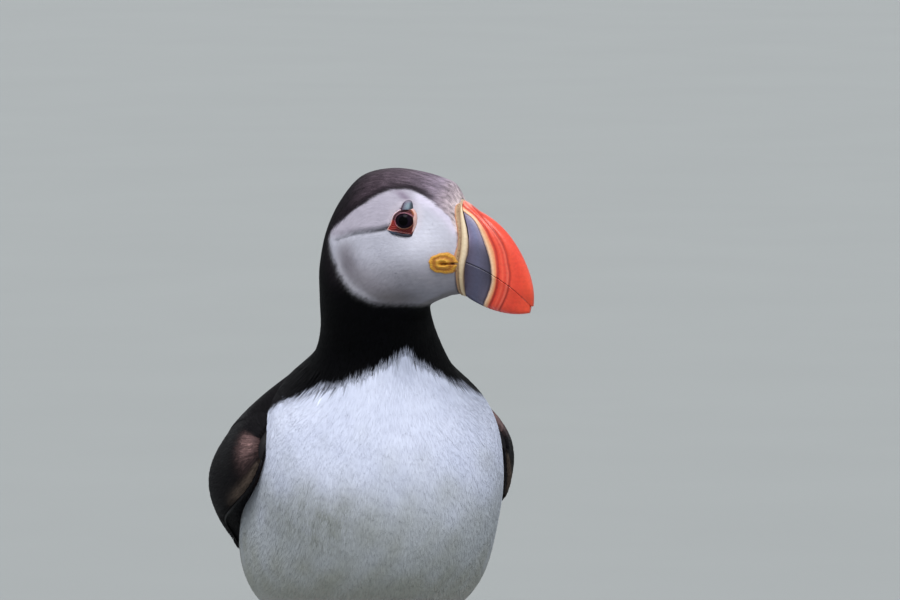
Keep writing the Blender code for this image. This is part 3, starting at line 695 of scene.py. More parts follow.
@dataclass
class FaceMap:
    """How far out the head's side lies at a place seen from the side.

    Fields: form; step, the size of its square bins; low, forward and up of the first; size, their numbers;
    start, the distance along the body where the head begins.
    """

    form: Form
    step: float = 0.25
    low: Pair = (-32.0, -26.0)
    size: tuple[int, int] = (270, 240)
    start: float = 190.0

    def __post_init__(self) -> None:
        """Averages the head's points in the bins, spreads them into the empty ones and smooths them."""
        s = np.linspace(self.start, self.form.end, 1400)[:, None]
        a = np.linspace(0.02, math.pi - 0.02, 1400)[None, :]
        s, a = np.broadcast_arrays(s, a)
        forward, side, up = from_head(self.form.lattice.read(self.form.lattice.points, s, a))
        i = np.clip(((forward - self.low[0]) / self.step).astype(int), 0, self.size[0] - 1)
        j = np.clip(((up - self.low[1]) / self.step).astype(int), 0, self.size[1] - 1)
        flat = (i * self.size[1] + j).ravel()
        cells = self.size[0] * self.size[1]
        count = np.bincount(flat, minlength=cells).reshape(self.size).astype(float)
        total = np.bincount(flat, weights=side.ravel(), minlength=cells).reshape(self.size)
        steps = [(k, axis) for k in (1, -1) for axis in (0, 1)]
        for _ in range(24):
            empty = count == 0
            filled, means = np.where(empty, 0, 1.0), np.where(empty, 0, total / np.maximum(count, 1))
            weight = sum(np.roll(filled, k, axis) for k, axis in steps)
            near = sum(np.roll(means, k, axis) for k, axis in steps)
            fill = empty & (weight > 0)
            total = np.where(fill, near / np.maximum(weight, 1), total)
            count = np.where(fill, 1.0, count)
        table = total / np.maximum(count, 1)
        for axis in (0, 1):
            table = (np.roll(table, 1, axis) + 2 * table + np.roll(table, -1, axis)) / 4
        self.table = table

    def side(self, forward: Array, up: Array) -> Array:
        """Distance out of the head's side at a place, by bilinear interpolation."""
        i = np.clip((forward - self.low[0]) / self.step - 0.5, 0, self.size[0] - 1.001)
        j = np.clip((up - self.low[1]) / self.step - 0.5, 0, self.size[1] - 1.001)
        i0, j0 = i.astype(int), j.astype(int)
        a, b = i - i0, j - j0
        t = self.table
        low = t[i0, j0] * (1 - b) + t[i0, j0 + 1] * b
        return low * (1 - a) + (t[i0 + 1, j0] * (1 - b) + t[i0 + 1, j0 + 1] * b) * a


@dataclass(frozen=True)
class Markings:
    """The bird's pattern, in distance along the body s and angle from the dorsal line.

    Fields: back, the half angle (s, angle) of the dark back, which the collar closes round the throat;
    face_top, the upper edge of the pale face as (forward, up) from the head's centre; face_rear, its rear
    and lower edge as (angle, s); crease and cheek, the line behind the eye, darkened by painted shade,
    and the painted shadow under the cheek, both (forward, up); brow, the pale line over the face, a
    painted highlight; the last are display colours.
    """

    back: Curve = (
        (0, 84), (14.4, 70), (53, 60), (117.9, 66), (132, 76), (140.4, 84), (148, 97), (152.5, 103),
        (156.5, 119), (162, 137), (166.5, 154), (169.7, 166), (173.7, 176), (176, 186), (250, 400),
    )
    face_top: Curve = (
        (-26, 0.5), (-20.9, 5.3), (-16.5, 8.8), (-12.3, 12.6), (-5.8, 16.8), (-0.2, 20.4), (3.3, 22.0),
        (8.2, 22.7), (12.4, 22.2), (16.6, 20.5), (20.9, 17.7), (24.3, 15.1), (26.8, 12.3), (29.2, 8.1),
        (30.1, 4.3), (30.5, -0.8),
    )
    face_rear: Curve = (
        (30, 206), (41.4, 203.0), (48.3, 201.7), (60.3, 200.2), (72.9, 198.3), (83.4, 197.0),
        (99.3, 195.9), (112.8, 196.1), (125.4, 196.4), (135.9, 199.1), (147.3, 203.4), (160, 207.5),
        (180, 210),
    )
    crease: Curve = (
        (6.4, 8.1), (3.8, 7.3), (1.2, 6.8), (-1.5, 6.5), (-6.4, 5.9), (-9.4, 5.4), (-12.3, 4.7), (-16.0, 3.4),
    )
    over_crease: Curve = ((-16, 3.4), (-6.4, 5.9), (3.8, 7.3), (9, 8.8))
    cheek: Curve = ((-12.0, -2.0), (-10.0, -6.0), (-6.8, -10.0), (-2.5, -13.8), (3.0, -16.8), (10.0, -18.6))
    brow: Curve = ((14, 20.5), (20, 18.0), (25, 13.8), (29, 8.0))
    crown_tones: tuple[tuple[float, Colour], ...] = (
        (-24, (12, 10, 14)), (-14, (32, 27, 32)), (-4, (70, 59, 67)), (8, (94, 82, 92)),
        (16, (114, 102, 115)), (21, (138, 126, 140)), (26, (176, 161, 168)), (29, (214, 198, 198)),
    )
    white: Colour = (218, 224, 245)
    dirty: Colour = (152, 154, 141)
    black: Colour = (17, 15, 20)
    neck: Colour = (4, 4, 6)

    @staticmethod
    def past(curve: Curve, at: Array, value: Array) -> tuple[Array, Array]:
        """How far a value lies past a curve at a place, and the curve's slope there."""
        knots, values = np.array(curve, float).T
        slope = np.interp(at + 0.5, knots, values) - np.interp(at - 0.5, knots, values)
        return value - np.interp(at, knots, values), slope

    def below_back(self, s: Array, angle: Array) -> Array:
        """Distance below the dark back's edge, where the plumage is white."""
        past, slope = self.past(self.back, s, angle)
        radius = np.interp(s, (0, 60, 140, 160), (14, 46, 46, 24))
        return past / np.sqrt((180 / math.pi / radius) ** 2 + slope**2)

    def in_face(self, s: Array, angle: Array, forward: Array, up: Array) -> Array:
        """Distance inside the pale face."""
        past, slope = self.past(self.face_top, forward, up)
        behind, _ = self.past(self.face_rear, angle, s)
        return np.minimum(-past / np.sqrt(1 + slope**2), behind)

    def above_crease(self, start: float, end: float, forward: Array, up: Array) -> Array:
        """Share, rising between two heights over the crease behind the eye."""
        return ease(start, end, self.past(self.over_crease, forward, up)[0])

    def face(self, forward: Array, side: Array, up: Array, inside: Array) -> Array:
        """Colours of the pale face, seen from the head's side."""
        above = self.above_crease(-0.4, 1.2, forward, up)
        brow, _ = self.past(self.brow, forward, up)
        away, _ = distance_to(self.cheek, forward, up)
        out = mix(srgb(188, 188, 202), srgb(222, 222, 236), hump(forward, 18.5, 8) * hump(up, 5, 7))
        out = painted(
            out,
            ((176, 169, 184), above * 0.85 * ease(17, 11, forward)),
            # painted highlight: the pale brow line along the top of the face stands for light on the feather
            # edges
            ((232, 223, 244), 0.72 * hump(brow, 0, 3.0) * ease(12.5, 16.5, forward) * ease(2, 7, up)),
            # painted shade: the lower face is darker, partly its own grey and partly shade under the cheek;
            # the cheek's line and a band at the bottom are painted shadow
            ((142, 139, 148), 0.8 * ease(0.0, -12.0, up) * ease(-17, -12, forward)),
            ((120, 116, 124), 0.8 * np.exp(-((away / 4.4) ** 2))),
            ((100, 96, 98), 0.75 * hump(forward, 6, 9) * hump(up, -19.5, 3.2)),
            ((196, 195, 206), 0.7 * ease(2.6, 1.0, inside) * ease(-4.0, -9.0, up) * ease(4, -4, forward)),
            # painted shade low at the face's rear
            ((96, 90, 100), 0.5 * hump(forward, -9.5, 3.2) * hump(up, -5.0, 4.2)),
        )
        out = out * (1 + 0.05 * ripple(np.stack([forward * 0.35, up, side], -1), 1.6, 7))[..., None]
        # painted shade at the crease: grey where the fold above hangs over it and a dark line in its groove,
        # on top of the groove's own shadow
        away, share = distance_to(self.crease, forward, up)
        dark = np.exp(-((away / (0.72 - 0.3 * share)) ** 2)) * (1 - 0.5 * share)
        # painted shadow reaching up and back from the top of the upper plate
        plate_shadow = np.hypot((forward - 10.0 + 1.3 * (up - 20.0)) / 1.9, (up - 20.0) / 2.5)
        round_eye = np.hypot(forward - 12.2, (up - 11.5) * 0.85) - 5.6
        return painted(
            out,
            ((122, 117, 120), ease(9.0, 5.0, np.abs(side)) * ease(-13.0, -18.0, up)),
            ((150, 144, 158), 0.55 * np.exp(-(((away - 1.2) / 1.4) ** 2)) * (1 - 0.6 * share) * above),
            ((30, 24, 34), 0.96 * dark),
            ((126, 112, 132), 0.85 * np.exp(-(plate_shadow**2))),
            ((228, 218, 228), 0.25 * ease(1.2, 0.4, round_eye)),
        )

    def crown(self, forward: Array, side: Array, up: Array, outside: Array) -> Array:
        """Colours of the crown and nape: pale by the bill, brownish above, black behind."""
        stops = [stop for stop, _ in self.crown_tones]
        table = np.array([srgb(*tone) for _, tone in self.crown_tones])
        out = np.stack([np.interp(forward, stops, table[:, k]) for k in range(3)], -1)
        flecks = ripple(np.stack([forward * 0.3, side, up * 0.8], -1), 1.5, 11)
        out = out * (1 + 0.42 * flecks)[..., None]
        rim = ease(3.4, 0.8, outside) * ease(25.0, 17.0, forward)
        return painted(out, ((26, 21, 27), 0.85 * rim))

    def body(self, points: Array) -> Array:
        """Colours of the white plumage: clean on the breast, greyer and greener towards the belly, partly
        dirt and partly painted shade.
        """
        x, y, z = points.T
        # a greenish grey patch low on the front of the bird's right side
        green_patch = hump(x, -30, 19) * hump(z, 82, 12) * ease(-12, -28, y)
        return painted(
            srgb(*self.white),
            ((200, 207, 230), 0.4 + 0.35 * ripple(points, 24.0, 5)),
            # greyer and greener towards the belly: partly dirt, partly painted shade where the body turns
            # under
            ((178, 183, 186), 0.85 * ease(112, 76, z + 8 * ripple(points, 18.0, 6))),
            (self.dirty, 0.75 * ease(82, 48, z + 9 * ripple(points, 11.0, 8))),
            ((112, 115, 100), 0.6 * green_patch * (0.75 + 0.5 * ripple(points, 7.0, 9))),
            ((194, 197, 197), 0.6 * ease(54, 38, z)),
        )

    def colours(self, s: Array, theta: Array, points: Array) -> Array:
        """Linear colours at places of the body.

        Args:
            s: distance along the body.
            theta: angle from the dorsal line towards the left, in radians.
            points: the places themselves, (n, 3).
        """
        angle = off_dorsal(theta)
        forward, side, up = from_head(points)
        wander = ripple(points, 5.0, 1) * 0.5
        inside = self.in_face(s, angle, forward, up) + wander * 0.4
        out = painted(
            srgb(*self.black),
            ((28, 24, 28), 0.5 + 0.5 * ripple(points, 14.0, 3)),
            (self.neck, ease(118, 152, s)),
        )
        out = mix(out, self.crown(forward, side, up, -inside), ease(188, 200, s) * ease(96, 70, angle))
        out = mix(out, self.body(points), ease(-0.5, 0.7, self.below_back(s, angle) + wander))
        return mix(out, self.face(forward, side, up, inside), ease(-0.35, 0.45, inside))


def off_dorsal(theta: Array) -> Array:
    """Angle from the dorsal line in degrees, the same to the left and the right."""
    return np.degrees(np.abs((theta + math.pi) % (2 * math.pi) - math.pi))


# ---- the coat -----------------------------------------------------------------------------------
@dataclass(frozen=True)
class Tufts:
    """Numbers of one kind of small feather; lengths in millimetres, angles in degrees.

    Fields: count; length; width; swirl and jitter, how far neighbours lean together and each by itself;
    lift of the tips; ridge, height of the middle as a share of the width; uneven, spread of the lengths;
    round, how far the sides' shading turns outward; shade, spread of the tones.
    """

    count: int
    length: float
    width: float
    swirl: float = 9.0
    jitter: float = 6.0
    lift: float = 0.0
    ridge: float = 0.16
    uneven: float = 0.25
    round: float = 0.3
    shade: float = 0.07

    def thinned(self, quick_share: float, pieces: int = 1) -> Tufts:
        kept = 1.0
        return replace(self, count=int(self.count * kept / pieces))


@dataclass
class Plumer:
    """Lays tufts over a lattice, with their roots on the skin below it.

    Fields: lattice, the outside of the coat; inset, (rows,) the skin's depth below it; forward, -1 if
    tufts point to lower rows, 1 if to higher ones; stretch and rise, where a tuft's root, middle and tip
    lie along its length and in the coat's depth; scatter of its tip's height and of its facing; bend at
    the tip in degrees; patch, the size of its place in the baking map.
    """

    lattice: Lattice
    inset: Array
    forward: int = -1
    stretch: tuple[float, float, float] = (0.0, 0.27, 1.0)
    rise: tuple[float, float, float] = (-0.1, 0.89, 0.97)
    scatter: float = 0.035
    bend: float = 4.0
    patch: float = 0.003

    def __post_init__(self) -> None:
        """Works out how long the lattice's steps are."""
        self.row_size = np.linalg.norm(self.lattice.along, axis=2)
        self.column_size = np.linalg.norm(self.lattice.across, axis=2)

    def roots(self, weight: Array, count: int, rng: np.random.Generator) -> tuple[Array, Array]:
        """Evenly scattered roots: each cell gets its share of count by area times weight, carried on from
        cell to cell so that none is lost, and each root a place in its cell at random."""
        step_rows = np.gradient(self.lattice.rows)[:, None]
        area = self.row_size * self.column_size * step_rows * self.lattice.step * weight
        order = np.arange(area.size).reshape(area.shape)
        order[1::2] = order[1::2, ::-1]
        filled = np.cumsum(area.ravel()[order.ravel()])
        picks = (np.arange(count) + rng.uniform(0, 1, count)) / count * filled[-1]
        cell = order.ravel()[np.clip(np.searchsorted(filled, picks), 0, area.size - 1)]
        r = cell // area.shape[1] + rng.uniform(-0.5, 0.5, count)
        c = cell % area.shape[1] + rng.uniform(-0.5, 0.5, count)
        rows = np.interp(r, np.arange(len(self.lattice.rows)), self.lattice.rows)
        return rows, self.lattice.columns[0] + c * self.lattice.step

    def lay(
        self,
        kind: Tufts,
        weight: Array,
        seed: int,
        paint: Callable[[Array, Array, Array], Array],
        size: Callable[[Array], Array] | None = None,
        turn: Callable[[Array], Array] | None = None,
    ) -> Surface:
        """Tufts of one kind, each a closed leaf with a point at both ends and three edges about its middle.

        Args:
            kind: their numbers.
            weight: (rows, columns) how thickly they stand.
            seed: seed of their places.
            paint: function of (row, column, points) giving linear colours.
            size: optional function of the roots (points) giving a factor of their length and width.
            turn: optional function of the roots (points) giving an extra turn in radians.
        Returns:
            The surface with its colours and its baking map.
        """
        rng = np.random.default_rng(seed)
        lattice, count = self.lattice, kind.count
        row, column = self.roots(weight, count, rng)
        place = lattice.read(lattice.points, row, column)
        scale = np.ones(count) if size is None else size(place)
        length = kind.length * scale * (1 + kind.uneven * rng.uniform(-1, 1, count))
        width = kind.width * np.sqrt(scale) * (1 + 0.25 * rng.uniform(-1, 1, count))
        lean = np.radians(kind.swirl) * ripple(place, 16.0, seed + 50)
        lean = lean + np.radians(kind.jitter) * rng.normal(size=count)
        if turn is not None:
            lean = lean + turn(place)
        per_row = np.maximum(lattice.read(self.row_size, row, column), 0.25)
        per_column = np.maximum(lattice.read(self.column_size, row, column), 2.0)
        depth = np.interp(row, lattice.rows, self.inset)
        rise = np.array(self.rise) * depth[:, None]
        uneven = self.scatter * depth[:, None] * rng.uniform(-1, 1, (count, 1))
        rise[:, 1:] += kind.lift * np.array([0.3, 1.0]) + uneven
        stretch = np.array(self.stretch)
        along = length[:, None] * stretch
        heading = lean[:, None] + np.radians(self.bend) * rng.normal(size=(count, 1)) * stretch
        rows = row[:, None] + self.forward * along * np.cos(heading) / per_row[:, None]
        rows = np.clip(rows, lattice.rows[0], lattice.rows[-1])
        columns = column[:, None] + along * np.sin(heading) / per_column[:, None]
        outside, normal = lattice.surface(rows, columns)
        centre = outside + normal * (rise - depth[:, None])[..., None]
        left = unit(np.cross(normal[:, 1], centre[:, 2] - centre[:, 0]))
        tones = [paint(rows[:, k], columns[:, k], outside[:, k]) for k in (1, 2)]
        own = 1 + kind.shade * rng.uniform(-1, 1, (count, 1))
        body, tip = tones[0] * own, tones[1] * own
        colours = np.stack([body * 0.85, body * 0.95, body, body * 0.95, tip], axis=1).reshape(-1, 3)
        facing = self.scatter * rng.normal(size=(count, 1, 3)) + normal[:, 1:2]
        facing = unit(facing + np.array([0, -1, 0, 1, 0])[None, :, None] * kind.round * left[:, None])
        points, faces = self.leaves(centre, left, normal[:, 1], width[:, None], kind.ridge)
        flat = np.array([[0.5, 0], [0, 0.45], [0.5, 0.45], [1, 0.45], [0.5, 1]])
        maps = {"OFBake": (lattice.places(row, column)[:, None] + self.patch * (flat - 0.5)).reshape(-1, 2)}
        return Surface(points, [faces], colours, facing.reshape(-1, 3), {}, maps)

    @staticmethod
    def leaves(centre: Array, left: Array, out: Array, width: Array, ridge: float) -> tuple[Array, Array]:
        """Points and faces of leaves: root, left edge, ridge, right edge and tip of each."""
        half, middle = 0.5 * width, centre[:, 1]
        ring = [middle - left * half, middle + out * ridge * width, middle + left * half]
        points = np.stack([centre[:, 0], *ring, centre[:, 2]], axis=1)
        pattern = np.array([[0, 2, 1], [0, 3, 2], [0, 1, 3], [4, 1, 2], [4, 2, 3], [4, 3, 1]])
        faces = (np.arange(len(centre))[:, None, None] * 5 + pattern).reshape(-1, 3)
        return points.reshape(-1, 3), faces


@dataclass(frozen=True)
class Region:
    """A region of the coat: its name, tufts, number of pieces, first seed, finish and slot, and whether
    it lies on the head, where tufts are smaller."""

    name: str
    tufts: Tufts
    pieces: int
    seed: int
    finish: str
    slot: str
    on_head: bool = False


@dataclass
class Coat:
    """The skin and the small feathers of trunk, neck and head.

    Fields: form and markings; crease_depth of the line behind each eye; rosette, the bare place at the
    mouth's corner: its middle, forward and up, and its half sizes; regions of the coat.
    """

    form: Form
    markings: Markings
    crease_depth: float = 0.75
    rosette: tuple[float, float, float, float] = (26.3, -5.4, 4.4, 3.7)
    regions: tuple[Region, ...] = (
        Region("breast", Tufts(81000, 8.0, 1.0, 8, 5, 0.02, 0.08, round=0.05, shade=0.03), 3, 10,
               "plumage", "white_plumage"),
        Region("thigh", Tufts(6000, 6.0, 0.9, 8, 6, 0.04, 0.10), 1, 20, "plumage", "white_plumage"),
        Region("face", Tufts(60000, 2.9, 0.50, 7, 5, 0.0, 0.08, round=0.2, shade=0.06), 2, 30,
               "plumage", "grey_plumage", True),
        Region("crown", Tufts(46000, 4.6, 0.56, 7, 5, 0.02, 0.12, shade=0.34), 2, 40,
               "dark", "black_plumage", True),
        Region("mantle", Tufts(23000, 8.0, 1.5, 6, 5, 0.03, 0.08, shade=0.25), 1, 50,
               "dark", "black_plumage"),
    )

    def __post_init__(self) -> None:
        """Shapes the skin's lattice, with its crease behind each eye and a bed for the lids."""
        lattice = self.form.lattice
        forward, side, up = from_head(lattice.points)
        on_head = ease(186, 196, lattice.rows)[:, None]
        away, share = distance_to(self.markings.crease, forward, up)
        above = self.markings.above_crease(0.2, 1.0, forward, up)
        groove = -self.crease_depth * np.exp(-((away / 0.8) ** 2)) * (1 - 0.5 * share)
        brow = 0.55 * np.exp(-(((away - 1.6) / 1.1) ** 2)) * above * (1 - 0.6 * share)
        bed = -0.35 * ease(6.5, 4.5, np.hypot(forward - 11.6, up - 10.4))
        relief = (groove + brow + bed) * on_head * (np.abs(side) > 8)
        shaped = lattice.points + lattice.normals * relief[..., None]
        self.lattice = Lattice(lattice.rows, lattice.columns, shaped, wrap=True)
        self.depth = self.form.coat(lattice.rows)
        self.plumer = Plumer(self.lattice, self.depth)
        self.forward, self.side, self.up = from_head(self.lattice.points)
        self.s, self.theta = np.broadcast_arrays(lattice.rows[:, None], lattice.columns[None, :])
        self.angle = off_dorsal(self.theta)

    def skin(self, finish: Material) -> None:
        """One closed skin under the whole coat, with the coat's markings and fewer rings below the neck."""
        body = np.flatnonzero(self.lattice.rows < self.form.neck_top)
        kept = np.append(body[::2], np.arange(len(body), len(self.s)))
        outer = self.lattice.points[kept]
        points, faces = capped_tube(outer - self.lattice.normals[kept] * self.depth[kept, None, None])
        s = np.append(self.s[kept].ravel(), [0.0, self.form.end])
        theta = np.append(self.theta[kept].ravel(), [0.0, 0.0])
        shown = np.concatenate([outer.reshape(-1, 3), points[-2:]])
        colours = self.markings.colours(s, theta, shown) * 0.9
        surface = Surface(points, faces, colours, None, {}, {"OFBake": self.lattice.places(s, theta)})
        nodes = ("trunk", "mantle", "neck", "head", "crown", "thigh_left", "thigh_right")
        surface.make("skin", finish, "white_plumage", *nodes)

    def free(self) -> Array:
        """Where tufts may stand: not where they would lie over the eyes, their rings and plates or the
        rosettes, nor ahead of the rim."""
        covered = np.zeros(self.s.shape, bool)
        for back in (0.0, 0.5, 1.0):
            for outline, grown in ((Head.ring, 0.93), (Head.upper, 0.85), (Head.lower, 0.8)):
                covered |= within(outline, grown, self.forward - back, self.up)
        forward, up, half_length, half_height = self.rosette
        covered |= np.hypot((self.forward - forward) / half_length, (self.up - up) / half_height) < 1.0
        midline = 2.6 * ease(12.0, 16.0, self.up) + 9.0 * ease(7.5, 4.5, np.abs(self.side)) * (self.up > 0)
        covered |= self.forward > np.interp(self.up, Bill.rim_heights, Bill.rim_rear) + 0.5 + midline
        return ~(covered & (self.s > FaceMap.start)) * (self.s < self.form.end - 0.3)

    def weights(self) -> dict[str, Array]:
        """How thickly each region's tufts stand on the lattice; fewer where the wing hides them."""
        x, y = self.lattice.points[..., 0], self.lattice.points[..., 1]
        under_wing = hump(self.s, 80, 62) * hump(self.angle, 78, 40)
        white = (self.markings.below_back(self.s, self.angle) > -1.5) & (self.s < 178)
        face = self.markings.in_face(self.s, self.angle, self.forward, self.up) > -0.3
        dark = ~white & ~face
        thigh = np.hypot(np.abs(x) - self.form.thigh[0], y - self.form.thigh[1]) < 14
        thigh &= (self.angle > 100) & (self.s < 110)
        finer = self.smaller(self.lattice.points) ** -1.4
        return {
            "breast": white * (1 - 0.45 * under_wing) * ~thigh,
            "thigh": thigh * white,
            "face": face * finer,
            "crown": dark * ease(141, 157, self.s) * (0.75 + 0.5 * ease(185, 200, self.s)) * finer,
            "mantle": dark * ease(163, 145, self.s) * (1 - 0.65 * under_wing),
        }

    def smaller(self, place: Array) -> Array:
        """Factor of a tuft's size on the head: least at the bill and round the eye."""
        forward, _, up = from_head(place)
        eye = np.hypot(forward - 12, up - 10.5)
        return np.clip(0.42 + 0.58 * ease(29, 8, forward), 0.4, 1) * (0.6 + 0.4 * ease(4, 11, eye))

    def dress(self, finishes: dict[str, Material]) -> None:
        """All the small feathers, in pieces by region."""
        free, weights = self.free(), self.weights()
        for region in self.regions:
            tufts = region.tufts.thinned(QUICK_COAT_SHARE, region.pieces)
            size = self.smaller if region.on_head else None
            turn = self.face_turn if region.name == "face" else None
            for k in range(region.pieces):
                weight = weights[region.name] * free
                surface = self.plumer.lay(tufts, weight, region.seed + k, self.markings.colours, size, turn)
                surface.make(f"coat_{region.name}_{k + 1}", finishes[region.finish], region.slot)

    @staticmethod
    def face_turn(place: Array) -> Array:
        """Face feathers fan out: upward above the crease and downward on the cheek, on either side."""
        _, side, up = from_head(place)
        return np.sign(side) * np.radians(0.6 * np.clip(-up, -12, 14))


# ---- the head's bare parts ----------------------------------------------------------------------
@dataclass
class Head:
    """Eyes, lids, horny plates and the fleshy fold at each corner of the mouth, on one side of the head.

    Places are forward and up from the head's centre. Fields: face and side; eye, the ball's middle, as
    forward, out and up; radius of the ball; opening, the eye's opening: its middle and its half sizes;
    ring, the outline of the lids; upper and lower, the outlines of the two plates; fold, the middle of
    the rosette and its half sizes.
    """

    face: FaceMap
    side: Side
    eye: tuple[float, float, float] = (12.1, 17.0, 11.0)
    radius: float = 4.3
    opening: tuple[float, float, float, float] = (12.7, 10.95, 3.25, 2.72)
    ring: Curve = (
        (10.0, 15.2), (12.3, 15.5), (14.4, 15.5), (15.9, 13.9), (16.45, 12.1), (16.6, 10.0), (16.25, 8.3),
        (15.85, 6.7), (15.4, 5.75), (13.8, 5.8), (12.1, 6.1), (9.9, 6.5), (7.7, 6.85), (6.1, 7.4), (6.2, 8.0),
        (6.8, 9.05), (7.1, 10.3), (7.3, 11.8), (7.7, 13.2), (8.7, 14.3),
    )
    upper: Curve = (
        (10.0, 14.8), (10.15, 16.0), (10.5, 17.3), (11.2, 18.3), (12.1, 18.6), (13.2, 18.4), (13.85, 17.6),
        (14.3, 16.4), (14.5, 15.2), (13.8, 14.4), (12.6, 13.95), (11.1, 14.2),
    )
    lower: Curve = (
        (6.3, 7.4), (7.8, 6.85), (10.0, 6.5), (12.2, 6.1), (13.9, 5.8), (15.4, 6.0), (15.7, 5.5), (14.8, 4.8),
        (12.3, 4.9), (10.1, 5.35), (7.9, 5.9), (6.6, 6.8),
    )
    fold: tuple[float, float, float, float] = (26.3, -5.4, 4.9, 4.15)

    def at(self, forward: Array, out: Array, up: Array) -> Array:
        """Place in the bird's frame, out being measured on this side of the head."""
        return head_point(forward, self.side.value * out, up)

    def eyeball(self, finish: Material) -> None:
        """Ball with a slight cornea, its axis pointing out and a little forward."""
        polar, turn = np.linspace(0, math.pi, 50)[1:-1, None], round_about(72)[None, :]
        radius = self.radius * (1 + 0.035 * np.exp(-((polar / 0.55) ** 2)) - 0.012) + 0 * turn
        level, axial = radius * np.sin(polar), radius * np.cos(polar)
        across, upright = level * np.cos(turn), level * np.sin(turn)
        lean = math.radians(8)
        forward = self.eye[0] + across * math.cos(lean) + axial * math.sin(lean)
        out = self.eye[1] - across * math.sin(lean) + axial * math.cos(lean)
        points, faces = capped_tube(self.at(forward, out, self.eye[2] + upright))
        iris = np.broadcast_to(np.clip(polar / math.radians(52), 0, 1), radius.shape)
        made = Surface(points, faces, None, None, {"iris": np.append(iris.ravel(), [0.0, 1.0])})
        made.make(f"eyeball_{self.side.label}", finish, "dark_eye", f"eye_{self.side.label}")

    def lids(self, finish: Material) -> None:
        """Fleshy ring round the eye, a closed band from the ball out to the feathers.

        Across its width come a dark inner edge, a thin raised fold, a wrinkled middle that is maroon above
        and behind and red below, and a pale rolled border that is partly a painted highlight on the roll.
        """
        around, levels = 192, 26
        outline = closed_curve(self.ring, around)
        middle, half = np.array(self.opening[:2]), np.array(self.opening[2:])
        bearing = (outline - middle) / half
        inner = middle + half * unit(bearing)
        angle = np.arctan2(bearing[:, 1], bearing[:, 0])[:, None]
        share = np.linspace(0, 1, levels) ** 1.15
        flat = inner[:, None] + (outline - inner)[:, None] * share[None, :, None]
        forward, up = flat[..., 0], flat[..., 1]
        width = np.linalg.norm(outline - inner, axis=1)[:, None]
        passed, beyond = width * share, width * (1 - share)
        surface = self.face.side(forward, up)
        away = np.hypot(inner[:, :1] - self.eye[0], inner[:, 1:] - self.eye[2])
        ball = self.eye[1] + np.sqrt(np.maximum(self.radius**2 - away**2, 0.3)) - 0.1
        base = ball + (surface - ball) * ease(0.0, 0.9, passed / np.maximum(width, 0.8))
        fold = 0.34 * hump(passed, 0.42, 0.2)
        wrinkled = 0.14 * np.sin(30 * angle + 5 * passed) * hump(share, 0.55, 0.25) * ease(0.8, 1.6, width)
        border = 0.30 * hump(beyond, 0.3, 0.28)
        out = base + 0.22 + fold + wrinkled + border + 0.25 * hump(share, 0.55, 0.3)
        top = self.at(forward, out, up)
        low = self.at(forward[:, ::-4], np.minimum(surface, ball)[:, ::-4] - 1.3, up[:, ::-4])
        rings = np.concatenate([top, low], axis=1)
        tint = self.lid_colours(angle, share, width, up - middle[1])
        tint = np.concatenate([tint, np.full(low.shape, 0.05)], axis=1).reshape(-1, 3)
        faces = grid_faces(around, rings.shape[1], wrap_columns=True, wrap_rows=True)
        made = Surface(rings.reshape(-1, 3), [faces], tint, None, {"pits": 0.3})
        made.make(f"lids_{self.side.label}", finish, "red_bill")

    @staticmethod
    def lid_colours(angle: Array, share: Array, width: Array, above: Array) -> Array:
        """Colours of the lids.

        Args:
            angle: (around, 1) bearing from the opening's middle.
            share: (levels,) share of the way out from the ball to the feathers.
            width: (around, 1) the ring's width.
            above: (around, levels) height above the opening's middle.
        """
        passed, beyond = width * share, width * (1 - share)
        back, below = ease(0.1, -0.7, np.cos(angle)), ease(0.15, -0.55, np.sin(angle))
        corner = ease(-0.55, -0.85, np.cos(angle)) * ease(0.2, -0.1, np.sin(angle))
        flesh = painted(
            mix(srgb(60, 12, 24), srgb(74, 14, 20), 1 - back),
            ((84, 9, 10), below),
            ((136, 26, 16), corner),
            ((190, 108, 60), hump(angle, 1.0, 0.3) * ease(0.9, 0.3, beyond)),
        )
        raised = mix(srgb(168, 112, 134), srgb(118, 76, 40), below * (1 - corner))
        tint = mix(flesh, raised, 0.85 * hump(passed, 0.40, 0.10) * ease(0.7, 1.3, width))
        tint = mix(tint, (0.004, 0.002, 0.004), ease(0.28, 0.1, passed))
        # the pale border, warmer where lit in front: partly the lids' own colour, partly a painted highlight
        lit = np.maximum(ease(-0.2, 0.5, np.cos(angle)), corner)
        edge = mix(srgb(222, 190, 200), srgb(220, 174, 166), lit)
        return mix(tint, edge, ease(0.52, 0.34, beyond) * ease(-4.6, -3.4, above))

    def dome(
        self, outline: Array, stand: Array | float, sink: float, share: Array
    ) -> tuple[Array, list[Array], Array]:
        """Closed dome over an outline on the face: rings shrink to the middle and stand by the square root
        of 1 - share^2.6.

        Args:
            outline: (n, 2) forward and up from the head's centre.
            stand: height of the dome at its middle, in millimetres, or (len(share), n) of them.
            sink: how deep its underside lies below the face.
            share: shares of the way from the middle to the outline, rising to 1.
        Returns:
            Points, faces and each point's share.
        """
        middle = outline.mean(0)
        flat = middle + (outline - middle)[None] * share[:, None, None]
        surface = self.face.side(flat[..., 0], flat[..., 1])
        out = surface + stand * np.sqrt(np.clip(1 - share**2.6, 0, 1))[:, None]
        under = self.face.side(outline[None, :, 0], outline[None, :, 1]) - sink
        top = self.at(flat[..., 0], out, flat[..., 1])
        low = self.at(outline[None, :, 0], under, outline[None, :, 1])
        points, faces = capped_tube(np.concatenate([top, low]))
        reach = [np.repeat(share, len(outline)), np.full(len(outline), 1.1), [0.0, 1.1]]
        return points, faces, np.concatenate(reach)

